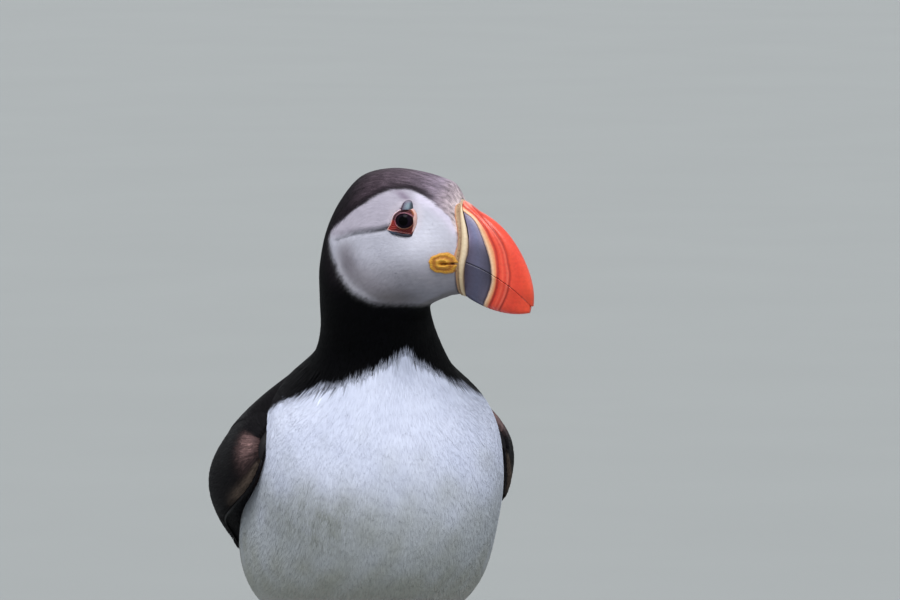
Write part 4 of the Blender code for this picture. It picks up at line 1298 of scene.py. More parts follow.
    def plates(self, finish: Material) -> None:
        """Horny plates: a small peak over the eye and a bar under it."""
        share = np.linspace(0.08, 1, 12)
        for label, outline, stand in (("upper", self.upper, 1.0), ("lower", self.lower, 0.8)):
            points, faces, reach = self.dome(closed_curve(outline, 80), stand, 0.7, share)
            forward, _, up = from_head(points)
            edge = ((40, 34, 48), 0.55 * ease(0.75, 1.0, reach))
            if label == "upper":
                pale = ease(0.9, 1.0, reach) * ease(11.3, 10.7, forward) * ease(17.6, 16.6, up)
                tint = painted(
                    srgb(84, 80, 104),
                    ((98, 122, 138), hump(forward, 12.9, 1.1) * hump(up, 16.4, 1.7)),
                    ((34, 52, 64), ease(13.0, 14.0, forward)),
                    ((54, 30, 50), ease(11.6, 10.6, forward)),
                    ((138, 128, 146), 0.8 * ease(17.3, 18.5, up)),
                    edge,
                    ((206, 180, 196), pale),
                )
            else:
                tint = painted(srgb(50, 62, 84), ((28, 26, 44), ease(7.5, 11.0, forward)), edge)
            made = Surface(points, faces, tint, None, {"pits": 0.5})
            node = f"eye_plate_{label}_{self.side.label}"
            made.make(f"plate_{label}_{self.side.label}", finish, "blue_grey_horn", node)

    def rosette(self, finish: Material) -> None:
        """Fleshy fold at the corner of the mouth: uneven rolls about a slit that runs on into the mouth."""
        forward, up, half_length, half_height = self.fold
        angle = round_about(144)
        wave = 1 + 0.035 * np.sin(5 * angle + 1.0) + 0.02 * np.sin(11 * angle)
        outline = [forward + half_length * wave * np.cos(angle), up + half_height * wave * np.sin(angle)]
        share = np.linspace(0.04, 1, 34)[:, None]
        bent = share + 0.03 * np.sin(4 * angle + 2.0)[None, :] + 0.015 * np.sin(9 * angle)[None, :]
        rolls = np.cos(2 * math.pi * (bent * 1.55 + 0.55)) * ease(0.1, 0.35, share)
        creases = np.cos(17 * angle + 1.5 * np.sin(3 * angle)) ** 8 * ease(0.35, 0.7, share)
        pebbles = 0.07 * np.sin(26 * angle + 8 * share) * np.sin(30 * share) * ease(0.2, 0.5, share)
        slit = hump(np.sin(angle) * share, -0.05, 0.10) * ease(-0.45, -0.05, np.cos(angle) * share)
        height = 1.85 + 0.34 * rolls + pebbles - 0.22 * creases - 1.3 * slit - 0.5 * ease(0.4, 0.0, share)
        points, faces, reach = self.dome(np.stack(outline, -1), height, 1.6, share[:, 0])
        # colour follows the relief: lighter on the rolls, darker in the creases and the slit; partly the
        # fold's own tones, partly painted light and shade
        level = np.concatenate([(rolls - 0.5 * creases - 2.2 * slit).ravel(), np.zeros(len(angle) + 2)])
        tint = painted(
            srgb(176, 112, 40),
            ((214, 158, 58), ease(-1.3, 0.4, level)),
            ((92, 50, 32), ease(-1.5, -2.6, level)),
            ((206, 142, 96), 0.6 * ease(0.88, 1.0, reach)),
        )
        made = Surface(points, faces, tint, None, {"pits": 0.6})
        made.make(f"gape_{self.side.label}", finish, "yellow_skin", f"rosette_{self.side.label}")


@dataclass(frozen=True)
class RimRing:
    """One ring of the bill's rim.

    Fields: ahead, whether it lies ahead of the split into pitted and smooth parts; share of the way from
    the rim's rear edge to the split, or from there to its front; stand, how far it stands out; pits, how
    much painted shade darkens its pits; tone, its display colour.
    """

    ahead: bool
    share: float
    stand: float
    pits: float
    tone: Colour


@dataclass
class Bill:
    """Upper and lower mandible and the rim at their base.

    Places are forward and up from the head's centre. Fields: culmen, tomium and gonys, the corners of the
    Bezier curves along ridge, mouth line and lower edge; gap, half the opening between the mandibles;
    mouth_width and ridge_width, half widths at the tip and what they gain by the base; slate_front,
    ridge_front and groove, edges of the coloured bands as (up, forward); tip, the bill's forward end;
    rim_rear, rim_split and rim_front, how far forward the rim's edges and its split lie at the
    rim_heights; rim_rings, from the feathers to the horn.
    """

    culmen: Curve = ((30.2, 16.3), (44.3, 11.7), (60.0, -6.4), (57.8, -22.0))
    tomium: Curve = ((33.6, -5.2), (40.0, -7.0), (50.0, -13.2), (56.8, -21.4))
    gonys: Curve = ((31.2, -18.6), (37.0, -23.2), (47.0, -26.4), (56.3, -24.4))
    gap: float = 0.12
    mouth_width: Pair = (1.2, 8.2)
    ridge_width: Pair = (1.0, 3.4)
    slate_front: Curve = (
        (-26, 34.5), (-22, 38.2), (-17, 41.3), (-12.5, 43.0), (-9.6, 43.3), (-7.1, 43.0), (-4.2, 42.4),
        (0.7, 40.8), (4.9, 38.9), (8.8, 36.7), (12, 33.8), (13.8, 31.0), (16, 27.0), (19, 24),
    )
    ridge_front: Curve = (
        (-26, 37.0), (-22, 40.6), (-17, 43.5), (-12.5, 44.9), (-9.6, 45.2), (-7.1, 45.1), (-3.9, 44.7),
        (0, 43.8), (3.5, 42.1), (6.7, 40.3), (10.5, 37.2), (13.2, 34.3), (15.2, 31.3), (19, 26),
    )
    groove: Curve = (
        (-26, 42.5), (-22, 45.7), (-17, 48.4), (-11.3, 49.7), (-5.6, 48.9), (-0.6, 47.6), (3.6, 45.3),
        (6.6, 42.9), (11, 38.5), (14, 34.9), (19, 29),
    )
    tip: float = 60.0
    rim_heights: tuple[float, ...] = (-20, -14, -9, -5, -2, 0.9, 4.4, 7.9, 10.7, 14.4, 16.4, 19.5)
    rim_rear: tuple[float, ...] = (28.0, 29.2, 29.8, 29.6, 29.9, 30.6, 30.6, 29.7, 28.5, 26.4, 25.3, 24.0)
    rim_split: tuple[float, ...] = (29.2, 30.4, 31.0, 31.2, 31.8, 32.0, 31.9, 31.2, 30.4, 29.2, 28.5, 27.3)
    rim_front: tuple[float, ...] = (30.4, 32.0, 33.0, 33.9, 34.7, 34.9, 34.6, 33.6, 32.3, 30.5, 29.6, 28.6)
    # rings that sink in, the first under the feathers and the last three under the horn, have darker tones:
    # painted shade in those recesses
    rim_rings: tuple[RimRing, ...] = (
        RimRing(False, -0.25, -0.7, 0.0, (150, 100, 84)),
        RimRing(False, -0.05, 0.1, 0.1, (200, 136, 106)),
        RimRing(False, 0.1, 0.42, 0.5, (196, 142, 108)),
        RimRing(False, 0.35, 0.66, 1.0, (180, 146, 112)),
        RimRing(False, 0.6, 0.74, 1.0, (164, 136, 104)),
        RimRing(False, 0.85, 0.66, 1.0, (158, 128, 98)),
        RimRing(False, 1.0, 0.5, 0.7, (132, 102, 78)),
        RimRing(True, 0.1, 0.62, 0.2, (184, 156, 124)),
        RimRing(True, 0.3, 0.95, 0.0, (218, 196, 162)),
        RimRing(True, 0.6, 1.05, 0.0, (226, 206, 174)),
        RimRing(True, 0.85, 0.86, 0.0, (216, 194, 164)),
        RimRing(True, 0.97, 0.5, 0.0, (202, 178, 148)),
        RimRing(True, 1.0, 0.0, 0.0, (186, 160, 132)),
        RimRing(True, 0.97, -0.8, 0.0, (156, 128, 106)),
        RimRing(True, 0.92, -2.0, 0.0, (112, 88, 78)),
        RimRing(True, 0.88, -3.4, 0.0, (66, 50, 50)),
    )

    def bands(self, forward: Array, up: Array) -> Array:
        """Band number: 0 at the base, 1 and 2 at the pale ridge's edges, 3 at the groove, 4 at the tip."""
        marks = [np.interp(up, self.rim_heights, self.rim_front) - 0.5]
        for edge in (self.slate_front, self.ridge_front, self.groove):
            marks.append(through(*np.array(edge, float).T, up))
        marks.append(np.full(np.shape(up), self.tip))
        pairs = zip(marks[:-1], marks[1:])
        return sum(np.clip((forward - a) / np.maximum(b - a, 0.3), 0, 1) for a, b in pairs)

    @staticmethod
    def relief(band: Array, up: Array) -> Array:
        """How far the horn stands out: the pale ridge is raised, and grooves are pressed in by its edges, at
        band 3 and, on the bill's upper part, beyond it."""
        out = 0.34 * ease(0.97, 1.15, band) * ease(2.05, 1.8, band) - 0.30 * hump(band, 2.08, 0.08)
        out = out + 0.12 * hump(band, 2.5, 0.10) - 0.34 * hump(band, 3.0, 0.05)
        out = out + 0.14 * hump(band, 2.88, 0.07)
        return out - 0.12 * hump(band, 3.3, 0.04) * ease(-18, -8, up) - 0.14 * hump(band, 0.96, 0.04) - 0.10

    @staticmethod
    def shading(forward: Array, up: Array, band: Array, upper: bool) -> Array:
        """Factors of the bands' colours: pale at the ridge's top; on the slate base, painted light, darker
        low down and lighter towards the top; darker low on the upper mandible's red.
        """
        slate = ease(1.0, 0.97, band)
        pale = ease(34.0, 31.0, forward) * ease(11.5, 14.5, up) * ease(0.6, 1.2, band)
        low = ease(4, -5, up) * ease(-20, -9, up) * ease(0.45, 0.9, band)
        tint = mix(BLANK, (1.0, 2.6, 3.4), pale * ease(1.9, 2.3, band))
        # painted light on the slate base: darker low down, lighter towards the top
        tint = mix(tint, (0.42, 0.44, 0.50), low * slate)
        tint = mix(tint, (2.2, 2.3, 2.3), ease(-1, 6, up) * slate)
        tint = mix(tint, (2.3, 2.0, 1.9), ease(9.5, 13.5, up) * slate)
        return mix(tint, (0.78, 0.74, 0.72), ease(-13, -20, up) * ease(2.0, 2.2, band) * upper)

    def mandible(self, name: str, ridge_line: Curve, lift: float, finish: Material) -> None:
        """One mandible: rings over its ridge from the mouth line on one side to the other, then closed.

        Half widths narrow from base to tip as 1 - t^1.25 at the mouth and (1 - t)^0.8 at the ridge.

        Args:
            name: "upper" or "lower".
            ridge_line: the corners of its ridge's Bezier curve.
            lift: how far it is moved up from the mouth line.
            finish: its material.
        """
        rows, levels, upper = 150, 56, name == "upper"
        along = np.linspace(0, 1, rows)
        low, high = bezier(self.tomium, along[:, None]), bezier(ridge_line, along[:, None])
        mouth = self.mouth_width[0] + self.mouth_width[1] * (1 - along**1.25)
        ridge = self.ridge_width[0] + self.ridge_width[1] * (1 - along) ** 0.8
        share = np.sin(np.linspace(0, math.pi / 2, levels))[:-1]
        lateral = (mouth[:, None] + (ridge - mouth)[:, None] * share) * np.sqrt(1 - share**9)
        share, lateral = np.append(share, 1.0), np.column_stack([lateral, np.zeros(rows)])
        middle = low[:, None] + (high - low)[:, None] * share[:, None]
        base = np.interp(middle[..., 1], self.rim_heights, self.rim_front) - 0.7
        forward = middle[..., 0] + (1 - along[:, None]) ** 3 * (base - middle[:1, :, 0])
        peak = upper * 1.5 * ease(0.13, 0.0, along[:, None]) * share**3
        up = middle[..., 1] + lift + peak
        band = self.bands(forward, up)
        lateral = np.maximum(lateral * 0.955 + self.relief(band, up) * ease(0.2, 2.5, lateral), 0.0)
        half = np.stack([forward, lateral, up], -1)
        ring = np.concatenate([half, half[:, -2::-1] * np.array([1.0, -1.0, 1.0])], axis=1)
        floor = [ring[:, -1:] * near + ring[:, :1] * far for near, far in ((0.62, 0.38), (0.38, 0.62))]
        floor = np.concatenate(floor, axis=1)
        floor[..., 2] += 0.8 * np.sign(high[:, 1] - low[:, 1])[:, None]
        forward, lateral, up = np.moveaxis(np.concatenate([ring, floor], axis=1), -1, 0)
        band = np.concatenate([band, band[:, -2::-1], band[:, :1], band[:, :1]], axis=1).ravel()
        points, faces = capped_tube(head_point(forward, lateral, up))
        tint = self.shading(forward.ravel(), up.ravel(), band, upper)
        tint = np.concatenate([tint, np.ones((2, 3))])
        made = Surface(points, faces, tint, None, {"band": np.append(band, [0.0, 4.0])})
        made.make(f"mandible_{name}", finish, "red_bill", f"bill_{name}")

    def rim(self, form: Form, finish: Material) -> None:
        """Cream fleshy rim between the feathers and the horn, pitted behind and smooth in front.

        Behind the bill's base it follows the head's side, ahead of it a straight sleeve.
        """
        around, back = 320, 4.0
        angle, lattice = round_about(around), form.lattice
        end = lattice.read(lattice.points, np.full(around, form.end), angle)
        before = lattice.read(lattice.points, np.full(around, form.end - back), angle)
        forward, side, up = from_head(end)
        slope = np.maximum(forward - from_head(before)[0], 1.0) / back
        lines = (self.rim_rear, self.rim_split, self.rim_front)
        rear, split, front = (np.interp(up, self.rim_heights, line) for line in lines)
        middle = ease(9.0, 2.0, np.abs(side)) * (up > 0)
        rear, split = rear + (forward - 0.2 - rear) * middle, split + (forward + 0.3 - split) * middle
        outward, high = unit(end - end.mean(0)), ease(13.0, 18.5, up)
        rings = []
        for ring in self.rim_rings:
            low, far = (split, front) if ring.ahead else (rear, split)
            place = low + (far - low) * ring.share
            at = np.clip(form.end + np.minimum(place - forward, 0) / slope, 0, form.end)
            sleeve = HEADING * np.maximum(place - forward, 0)[:, None]
            line = lattice.read(lattice.points, at, angle) + sleeve
            line = line + outward * (ring.stand * (1 - 0.5 * high))[:, None]
            line[:, 2] -= (0.35 + 0.9 * ring.ahead * ring.share) * high
            rings.append(line)
        points, faces = capped_tube(np.array(rings))
        tones = np.array([srgb(*ring.tone) for ring in self.rim_rings])
        tint, height = np.repeat(tones, around, axis=0), np.tile(up, len(rings))
        tint = mix(tint, tint * (0.96, 0.92, 0.84), ease(-3, -10, height))
        tint = painted(tint, ((200, 176, 152), 0.5 * ease(13.5, 17.5, height)))
        tint = np.concatenate([tint, tint[:1], tint[-1:]])
        pits = np.append(np.repeat([ring.pits for ring in self.rim_rings], around), [0, 0])
        Surface(points, faces, tint, None, {"pits": pits}).make("rim", finish, "cream_skin", "bill_rim")


# ---- wings and tail -----------------------------------------------------------------------------
@dataclass(frozen=True)
class Vanes:
    """Large feathers as thin closed blades with a raised shaft.

    Fields: rows and columns of points over a blade; tip, how blunt it ends: half width follows
    (1 - t^tip)^0.5 of its length; thick, its thickness.
    """

    rows: int = 9
    columns: int = 7
    tip: float = 2.6
    thick: float = 0.16

    def shares(self) -> tuple[Array, Array]:
        """Shares of the way from root to tip, and places across from -1 to 1."""
        return np.linspace(0, 1, self.rows), np.linspace(-1, 1, self.columns)

    def build(self, centre: Array, normal: Array, width: Array, tint: Array) -> Surface:
        """Blades along given middle lines.

        Args:
            centre: (count, rows, 3) middle line of each blade, root first.
            normal: (count, rows, 3) outward direction along it.
            width: (count,) greatest width.
            tint: (count, 3) colour.
        Returns:
            The surface with colours and the two maps.
        """
        count, (t, v) = len(centre), self.shares()
        ahead = unit(np.gradient(centre, axis=1))
        left = unit(np.cross(normal, ahead))
        outline = np.sqrt(np.clip(1 - t**self.tip, 0.015, 1)) * (0.55 + 0.45 * ease(0, 0.45, t))
        half = 0.5 * width[:, None, None] * outline[None, :, None] * v
        shaft = np.exp(-((v / 0.16) ** 2)) * 0.10
        camber = -0.05 * width[:, None, None] * v**2
        top = centre[:, :, None] + left[:, :, None] * half[..., None]
        top = top + normal[:, :, None] * (camber + shaft)[..., None]
        under = top - normal[:, :, None] * (self.thick * (1.0 - 0.6 * np.abs(v)) + shaft)[..., None]
        size = self.rows * self.columns
        points = np.concatenate([top.reshape(count, size, 3), under.reshape(count, size, 3)], axis=1)
        shift = np.arange(count)[:, None, None] * 2 * size
        faces = [(shift + block).reshape(-1, 4) for block in closed_sheet(top[0], under[0])[1]]
        edge = np.clip(ease(0.62, 1.0, np.abs(v))[None, :] + ease(0.8, 1.0, t)[:, None], 0, 1)
        rachis = np.exp(-((v / 0.12) ** 2))[None, :]
        shade = (0.74 + 0.85 * edge + 0.3 * rachis) * (0.75 + 0.25 * ease(0, 0.3, t)[:, None])
        colours = np.concatenate([tint[:, None] * shade.reshape(1, -1, 1)] * 2, axis=1)
        return Surface(points.reshape(-1, 3), faces, colours.reshape(-1, 3), None, {}, self.maps(count))

    def maps(self, count: int) -> dict[str, Array]:
        """The baking map, with a patch for each blade, and the map of its barbs, from shaft to edges."""
        t, v = self.shares()
        place = np.stack(np.broadcast_arrays(0.5 + 0.5 * v[None, :], t[:, None]), -1).reshape(-1, 2)
        barbs = place.copy()
        barbs[:, 0] = np.abs(barbs[:, 0] - 0.5) * 2
        cells = math.ceil(math.sqrt(count))
        spot = np.stack([np.arange(count) % cells, np.arange(count) // cells], -1) / cells
        bake = spot[:, None] * 0.98 + 0.01 + np.concatenate([place, place])[None] * 0.006
        return {"OFBake": bake.reshape(-1, 2), "vane": np.tile(np.concatenate([barbs, barbs]), (count, 1))}


@dataclass(frozen=True)
class Layer:
    """One row or patch of wing feathers.

    Fields: name; count; start and end, each the place (u, v) of the first and the last root; length and
    width at the first and at the last; lift at the tips; lean of the feathers in degrees, first and last;
    toned, the row of a blade where its colour is read.
    """

    name: str
    count: int
    start: Pair
    end: Pair
    length: Pair
    width: Pair
    lift: Pair
    lean: Pair = (0.0, 0.0)
    toned: int = 6

    def vanes(self, lattice: Lattice, size: float, tone: Callable[..., Array], seed: int) -> Surface:
        """The layer's feathers, each rising from just under the surface to lie on the next row.

        Args:
            lattice: the surface below them.
            size: the length that the lattice's rows run over, in millimetres.
            tone: function of (row, column, random numbers) giving linear colours.
            seed: seed of their unevenness.
        """
        rng = np.random.default_rng(seed)
        share = np.linspace(0, 1, self.count)

        def span(pair: Pair) -> Array:
            return pair[0] + (pair[1] - pair[0]) * share

        u = span((self.start[0], self.end[0])) + rng.normal(0, 0.004, self.count)
        v = span((self.start[1], self.end[1]))
        length = span(self.length) * (1 + 0.04 * rng.normal(size=self.count))
        width = span(self.width) * (1 + 0.05 * rng.normal(size=self.count))
        lift, lean = span(self.lift), np.radians(span(self.lean) + 1.5 * rng.normal(size=self.count))
        blades = Vanes()
        t, _ = blades.shares()
        across = np.maximum(lattice.read(np.linalg.norm(lattice.across, axis=2), u, v), 2.0)
        rows = np.clip(u[:, None] + t * (length * np.cos(lean))[:, None] / size, 0, 0.995)
        low, high = lattice.columns[0], lattice.columns[-1]
        columns = np.clip(v[:, None] + t * (length * np.sin(lean) / across)[:, None], low + 0.03, high - 0.03)
        centre, normal = lattice.surface(rows, columns)
        normal = unit(normal)
        stack = lift[:, None] * (0.15 + 0.85 * t) - 0.9 * (1 - t) - 0.9
        stack = stack + 0.2 * rng.uniform(-1, 1, (self.count, 1)) * t
        tint = tone(rows[:, self.toned], columns[:, self.toned], rng)
        return blades.build(centre + normal * stack[..., None], normal, width, tint)


@dataclass
class Wing:
    """A folded wing: a core, layered large feathers and small feathers along its front.

    Fields: side; sections from the wrist to the tip, each its lower and upper point as sideways, forward
    and height, and how far it bulges out and reaches in; layers of large feathers, the deepest first;
    tufts, the small feathers.
    """

    side: Side
    sections: tuple[tuple[tuple[float, ...], tuple[float, ...], float, float], ...] = (
        ((50, 19, 104), (43.6, 14.5, 118.3), 3.0, 3.0),
        ((53, 13, 95), (37.8, 4.5, 126.8), 7.5, 9.0),
        ((56, 0, 86), (33.6, -11, 130.3), 9.8, 13.0),
        ((55.5, -18, 78.5), (31, -31, 118), 12.2, 14.0),
        ((46, -41, 69), (24.5, -49, 97.5), 9.5, 14.0),
        ((31, -63, 53), (17, -69, 73.5), 5.5, 9.0),
        ((18, -83, 40.5), (11, -88, 53), 2.4, 3.0),
        ((9, -99, 30.5), (7, -100, 34.5), 0.7, 0.7),
    )
    layers: tuple[Layer, ...] = (
        Layer("primaries", 10, (0.56, -0.7), (0.48, 0.8), (78, 50), (9, 9.5), (0.0, 0.7), (0, 0)),
        Layer("secondaries", 12, (0.44, -0.45), (0.34, 0.85), (56, 42), (10, 11), (0.6, 1.1), (0, -1)),
        Layer("tertials", 5, (0.34, 0.30), (0.28, 0.97), (44, 40), (11, 12), (1.1, 1.4), (0, 0)),
        Layer("greater", 13, (0.36, -0.85), (0.22, 0.70), (30, 26), (8, 9), (0.9, 1.2), (2, -4)),
        Layer("median", 15, (0.26, -0.88), (0.14, 0.78), (21, 18), (7, 8), (1.0, 1.2), (3, -4)),
        Layer("lesser_rear", 15, (0.18, -0.9), (0.08, 0.82), (16, 14), (6, 6.5), (0.8, 1.0), (3, -4)),
        Layer("lesser_front", 14, (0.11, -0.9), (0.03, 0.85), (13, 11), (5, 5.5), (0.5, 0.7), (3, -4)),
    )
    tufts: Tufts = Tufts(9500, 7.0, 1.4, 6, 5, 0.25, 0.08, shade=0.25)

    def __post_init__(self) -> None:
        """Works out the wing's outer and inner surface."""
        lower = np.array([section[0] for section in self.sections], float)
        upper = np.array([section[1] for section in self.sections], float)
        steps = np.linalg.norm(np.diff((lower + upper) / 2, axis=0), axis=1)
        knots = np.concatenate([[0.0], np.cumsum(steps)])
        at = np.linspace(0, knots[-1], 160)
        lower, upper = through(knots, lower, at), through(knots, upper, at)
        depths = np.array([section[2:] for section in self.sections], float)
        bulge, self.reach = through(knots, depths, at).T
        path = np.gradient((lower + upper) / 2, at, axis=0)
        out = unit(np.cross(path, upper - lower))
        out = out * np.sign(out[:, :1])
        v = np.linspace(-1, 1, 61)
        arch = (1 - np.abs(v) ** 2.2)[None, :, None]
        span = lower[:, None] + (upper - lower)[:, None] * ((v + 1) / 2)[None, :, None]
        outer = span + out[:, None] * bulge[:, None, None] * arch * (1 - 0.25 * v[None, :, None])
        inner = span - out[:, None] * self.reach[:, None, None] * arch
        self.outer, self.inner = self.placed(outer), self.placed(inner)
        self.outward = self.placed(np.broadcast_to(out[:, None], outer.shape))
        self.lattice = Lattice(at / knots[-1], v, self.outer, wrap=False, outward=self.outward)
        self.length = float(knots[-1])

    def placed(self, points: Array) -> Array:
        """Points or directions given as sideways, forward and height, on this side of the bird."""
        return np.stack([self.side.value * points[..., 0], -points[..., 1], points[..., 2]], -1)

    def core(self, finish: Material) -> None:
        """Closed body of the wing just under its feathers, with fewer rings as it is hidden."""
        shrink = self.outer - self.outward * 2.2 * np.minimum(1.0, self.reach / 6)[:, None, None]
        ring = np.concatenate([shrink, self.inner[:, -2:0:-1]], axis=1)[::3]
        points, faces = capped_tube(ring)
        colours = np.broadcast_to(srgb(20, 18, 22), points.shape)
        u, v = np.linspace(0, 1, ring.shape[0])[:, None], np.linspace(0, 1, ring.shape[1])[None, :]
        places = np.stack(np.broadcast_arrays(u, v), -1).reshape(-1, 2)
        places = np.concatenate([places, [[0, 0], [1, 1]]])
        made = Surface(points, faces, colours, None, {}, {"OFBake": places})
        made.make(f"wing_core_{self.side.label}", finish, "black_plumage", f"wing_{self.side.label}")

    def tone(self, u: Array, v: Array, rng: np.random.Generator) -> Array:
        """Colour of a feather: black, with a painted highlight as a pinkish-brown patch at the wrist, and
        worn in a strip along the lower edge.
        """
        tint = mix(srgb(8, 7, 10), srgb(19, 17, 20), rng.uniform(0, 1, len(u)))
        level = v - 0.10 - 0.30 * self.side.value
        # painted highlight: the pinkish-brown patch at the wrist stands for light falling there
        worn = hump(u, 0.035, 0.032) * ease(0.26, 0.10, level) * ease(-0.8, -0.05, level)
        return painted(
            tint,
            ((104, 90, 80), 0.7 * hump(v, -1.0, 0.09) * ease(0.2, 0.1, u)),
            ((156, 124, 122), 0.95 * (worn * rng.uniform(0.35, 1.0, len(u)))),
        )

    def feathers(self, finish: Material) -> None:
        """All layers, the deepest first."""
        for seed, layer in enumerate(self.layers):
            vanes = layer.vanes(self.lattice, self.length, self.tone, 200 + seed)
            vanes.make(f"wing_{layer.name}_{self.side.label}", finish, "black_plumage")

    def small(self, finish: Material) -> None:
        """Small feathers over the wrist and the front edge, round to the wing's inner side."""
        ring = np.concatenate([self.outer, self.inner[:, -2:0:-1]], axis=1)
        lattice = Lattice(self.lattice.rows, round_about(ring.shape[1]), ring, wrap=True)
        across = np.concatenate([self.lattice.columns, self.lattice.columns[-2:0:-1]])
        inside = np.arange(ring.shape[1]) >= self.outer.shape[1]
        u, v = np.broadcast_arrays(lattice.rows[:, None], across[None, :])
        outer = ease(0.36, 0.06, u) + 0.25 * ease(0.6, 0.3, u) * ease(0.6, 0.95, -v)
        inner = 0.9 * np.maximum(ease(0.0, -0.4, v), ease(0.2, 0.1, u)) * ease(0.8, 0.5, u)
        plumer = Plumer(lattice, np.full(len(lattice.rows), 1.0), forward=1)
        rng = np.random.default_rng(90)

        def paint(row: Array, column: Array, _points: Array) -> Array:
            return self.tone(row, np.interp(column % (2 * math.pi), lattice.columns, across), rng)

        weight = np.where(inside[None, :], inner, outer)
        surface = plumer.lay(self.tufts.thinned(QUICK_SHARE), weight, 300, paint)
        surface.make(f"wing_tufts_{self.side.label}", finish, "black_plumage")


@dataclass
class Scapulars:
    """Shoulder feathers that carry the back's surface over onto the folded wing.

    Fields: form and wing; starts, for each place along the wing the body's distance s and the angle in
    degrees where the bridge starts; layers of large feathers, the deepest first; tufts, the small ones.
    """

    form: Form
    wing: Wing
    starts: tuple[tuple[float, float, float], ...] = (
        (0.0, 147, 66), (0.05, 146, 58), (0.1, 143, 47), (0.15, 134, 36), (0.2, 122, 28), (0.3, 101, 19),
        (0.4, 82, 14), (0.5, 64, 11), (0.6, 47, 9),
    )
    layers: tuple[Layer, ...] = (
        Layer("rear", 6, (0.66, 0.12), (0.60, 0.92), (30, 30), (12, 11), (0.3, 0.6)),
        Layer("fifth", 6, (0.52, 0.06), (0.46, 0.90), (26, 25), (11, 10), (0.5, 0.8)),
        Layer("fourth", 7, (0.39, 0.05), (0.34, 0.92), (22, 21), (9.5, 9), (0.7, 1.0)),
        Layer("third", 7, (0.27, 0.05), (0.23, 0.92), (18, 17), (8.5, 8), (0.8, 1.1)),
        Layer("second", 7, (0.16, 0.05), (0.13, 0.92), (15, 14), (7.5, 7), (0.6, 0.8)),
        Layer("first", 7, (0.06, 0.05), (0.04, 0.92), (12, 11), (6.5, 6), (0.4, 0.5)),
    )
    tufts: Tufts = Tufts(5200, 7.0, 1.4, 6, 5, 0.2, 0.08, shade=0.25)

    def __post_init__(self) -> None:
        """Spans Bezier curves from the back to the wing's outer side."""
        side = self.wing.side
        knots, s, angle = np.array(self.starts, float).T
        u = np.linspace(0.0, knots[-1], 70)
        at, turn = np.interp(u, knots, s), np.radians(np.interp(u, knots, angle)) * side.value
        body, grain = self.form.lattice, self.wing.lattice
        start, start_out = body.surface(at, turn)
        side_on = unit(body.read(body.across, at, turn)) * side.value
        reach = np.full(len(u), 0.25)
        end, end_out = grain.surface(u, reach)
        towards = unit(grain.read(grain.across, u, reach))
        gap = np.linalg.norm(end - start, axis=1)[:, None]
        full = ease(0.0, 0.12, u)[:, None]
        start, end = start - (3.0 - 2.4 * full) * start_out, end + (2.0 * full - 1.6) * end_out
        corners = np.stack([start, start + side_on * gap * 0.4, end + towards * gap * 0.38, end])
        v = np.linspace(0, 1, 33)
        points = bezier(corners[:, :, None], v[None, :, None])
        outward = np.broadcast_to(unit(start_out + end_out)[:, None], points.shape)
        self.lattice = Lattice(u / knots[-1], v, points, wrap=False, outward=outward)
        self.length = float(np.linalg.norm(np.diff(points[:, len(v) // 2], axis=0), axis=1).sum())

    @staticmethod
    def tone(u: Array, _v: Array, rng: np.random.Generator) -> Array:
        """Colour of a feather: black, each a little different."""
        return mix(srgb(9, 8, 11), srgb(22, 20, 23), rng.uniform(0, 1, len(u)))

    def bed(self, finish: Material, rows: int = 60) -> None:
        """A closed bed under the feathers, over the given number of the lattice's rows."""
        grid, normals = self.lattice.points[:rows], self.lattice.normals[:rows]
        sunk = 1.6 + 1.6 * ease(0.55, 0.85, self.lattice.rows[:rows])[:, None, None]
        points, faces = closed_sheet(grid - normals * sunk, grid - normals * (sunk + 2.4))
        tint = np.broadcast_to(srgb(16, 14, 18), points.shape)
        u, v = np.broadcast_arrays(self.lattice.rows[:rows, None], self.lattice.columns[None, :])
        place = np.stack([0.01 + 0.98 * u.ravel(), 0.01 + 0.48 * v.ravel()], -1)
        maps = {"OFBake": np.concatenate([place, place + (0.0, 0.5)])}
        label = self.wing.side.label
        Surface(points, faces, tint, None, {}, maps).make(f"scapular_bed_{label}", finish, "black_plumage")

    def dress(self, vane: Material, dark: Material) -> None:
        """The bed, six rows of feathers on it and small feathers over the front ones."""
        self.bed(dark)
        label = self.wing.side.label
        for seed, layer in enumerate(self.layers):
            vanes = layer.vanes(self.lattice, self.length, self.tone, 500 + seed)
            vanes.make(f"scapular_{layer.name}_{label}", vane, "black_plumage")
        rng = np.random.default_rng(91)

        def paint(row: Array, column: Array, _points: Array) -> Array:
            return self.tone(row, column, rng)

        plumer = Plumer(self.lattice, np.full(len(self.lattice.rows), 1.0), forward=1)
        u, v = np.broadcast_arrays(self.lattice.rows[:, None], self.lattice.columns[None, :])
        weight = ease(0.5, 0.08, u) + 0.3 * ease(0.2, 0.0, v) * ease(0.75, 0.6, u)
        surface = plumer.lay(self.tufts.thinned(QUICK_SHARE), weight, 600, paint)
        surface.make(f"scapular_tufts_{label}", dark, "black_plumage")


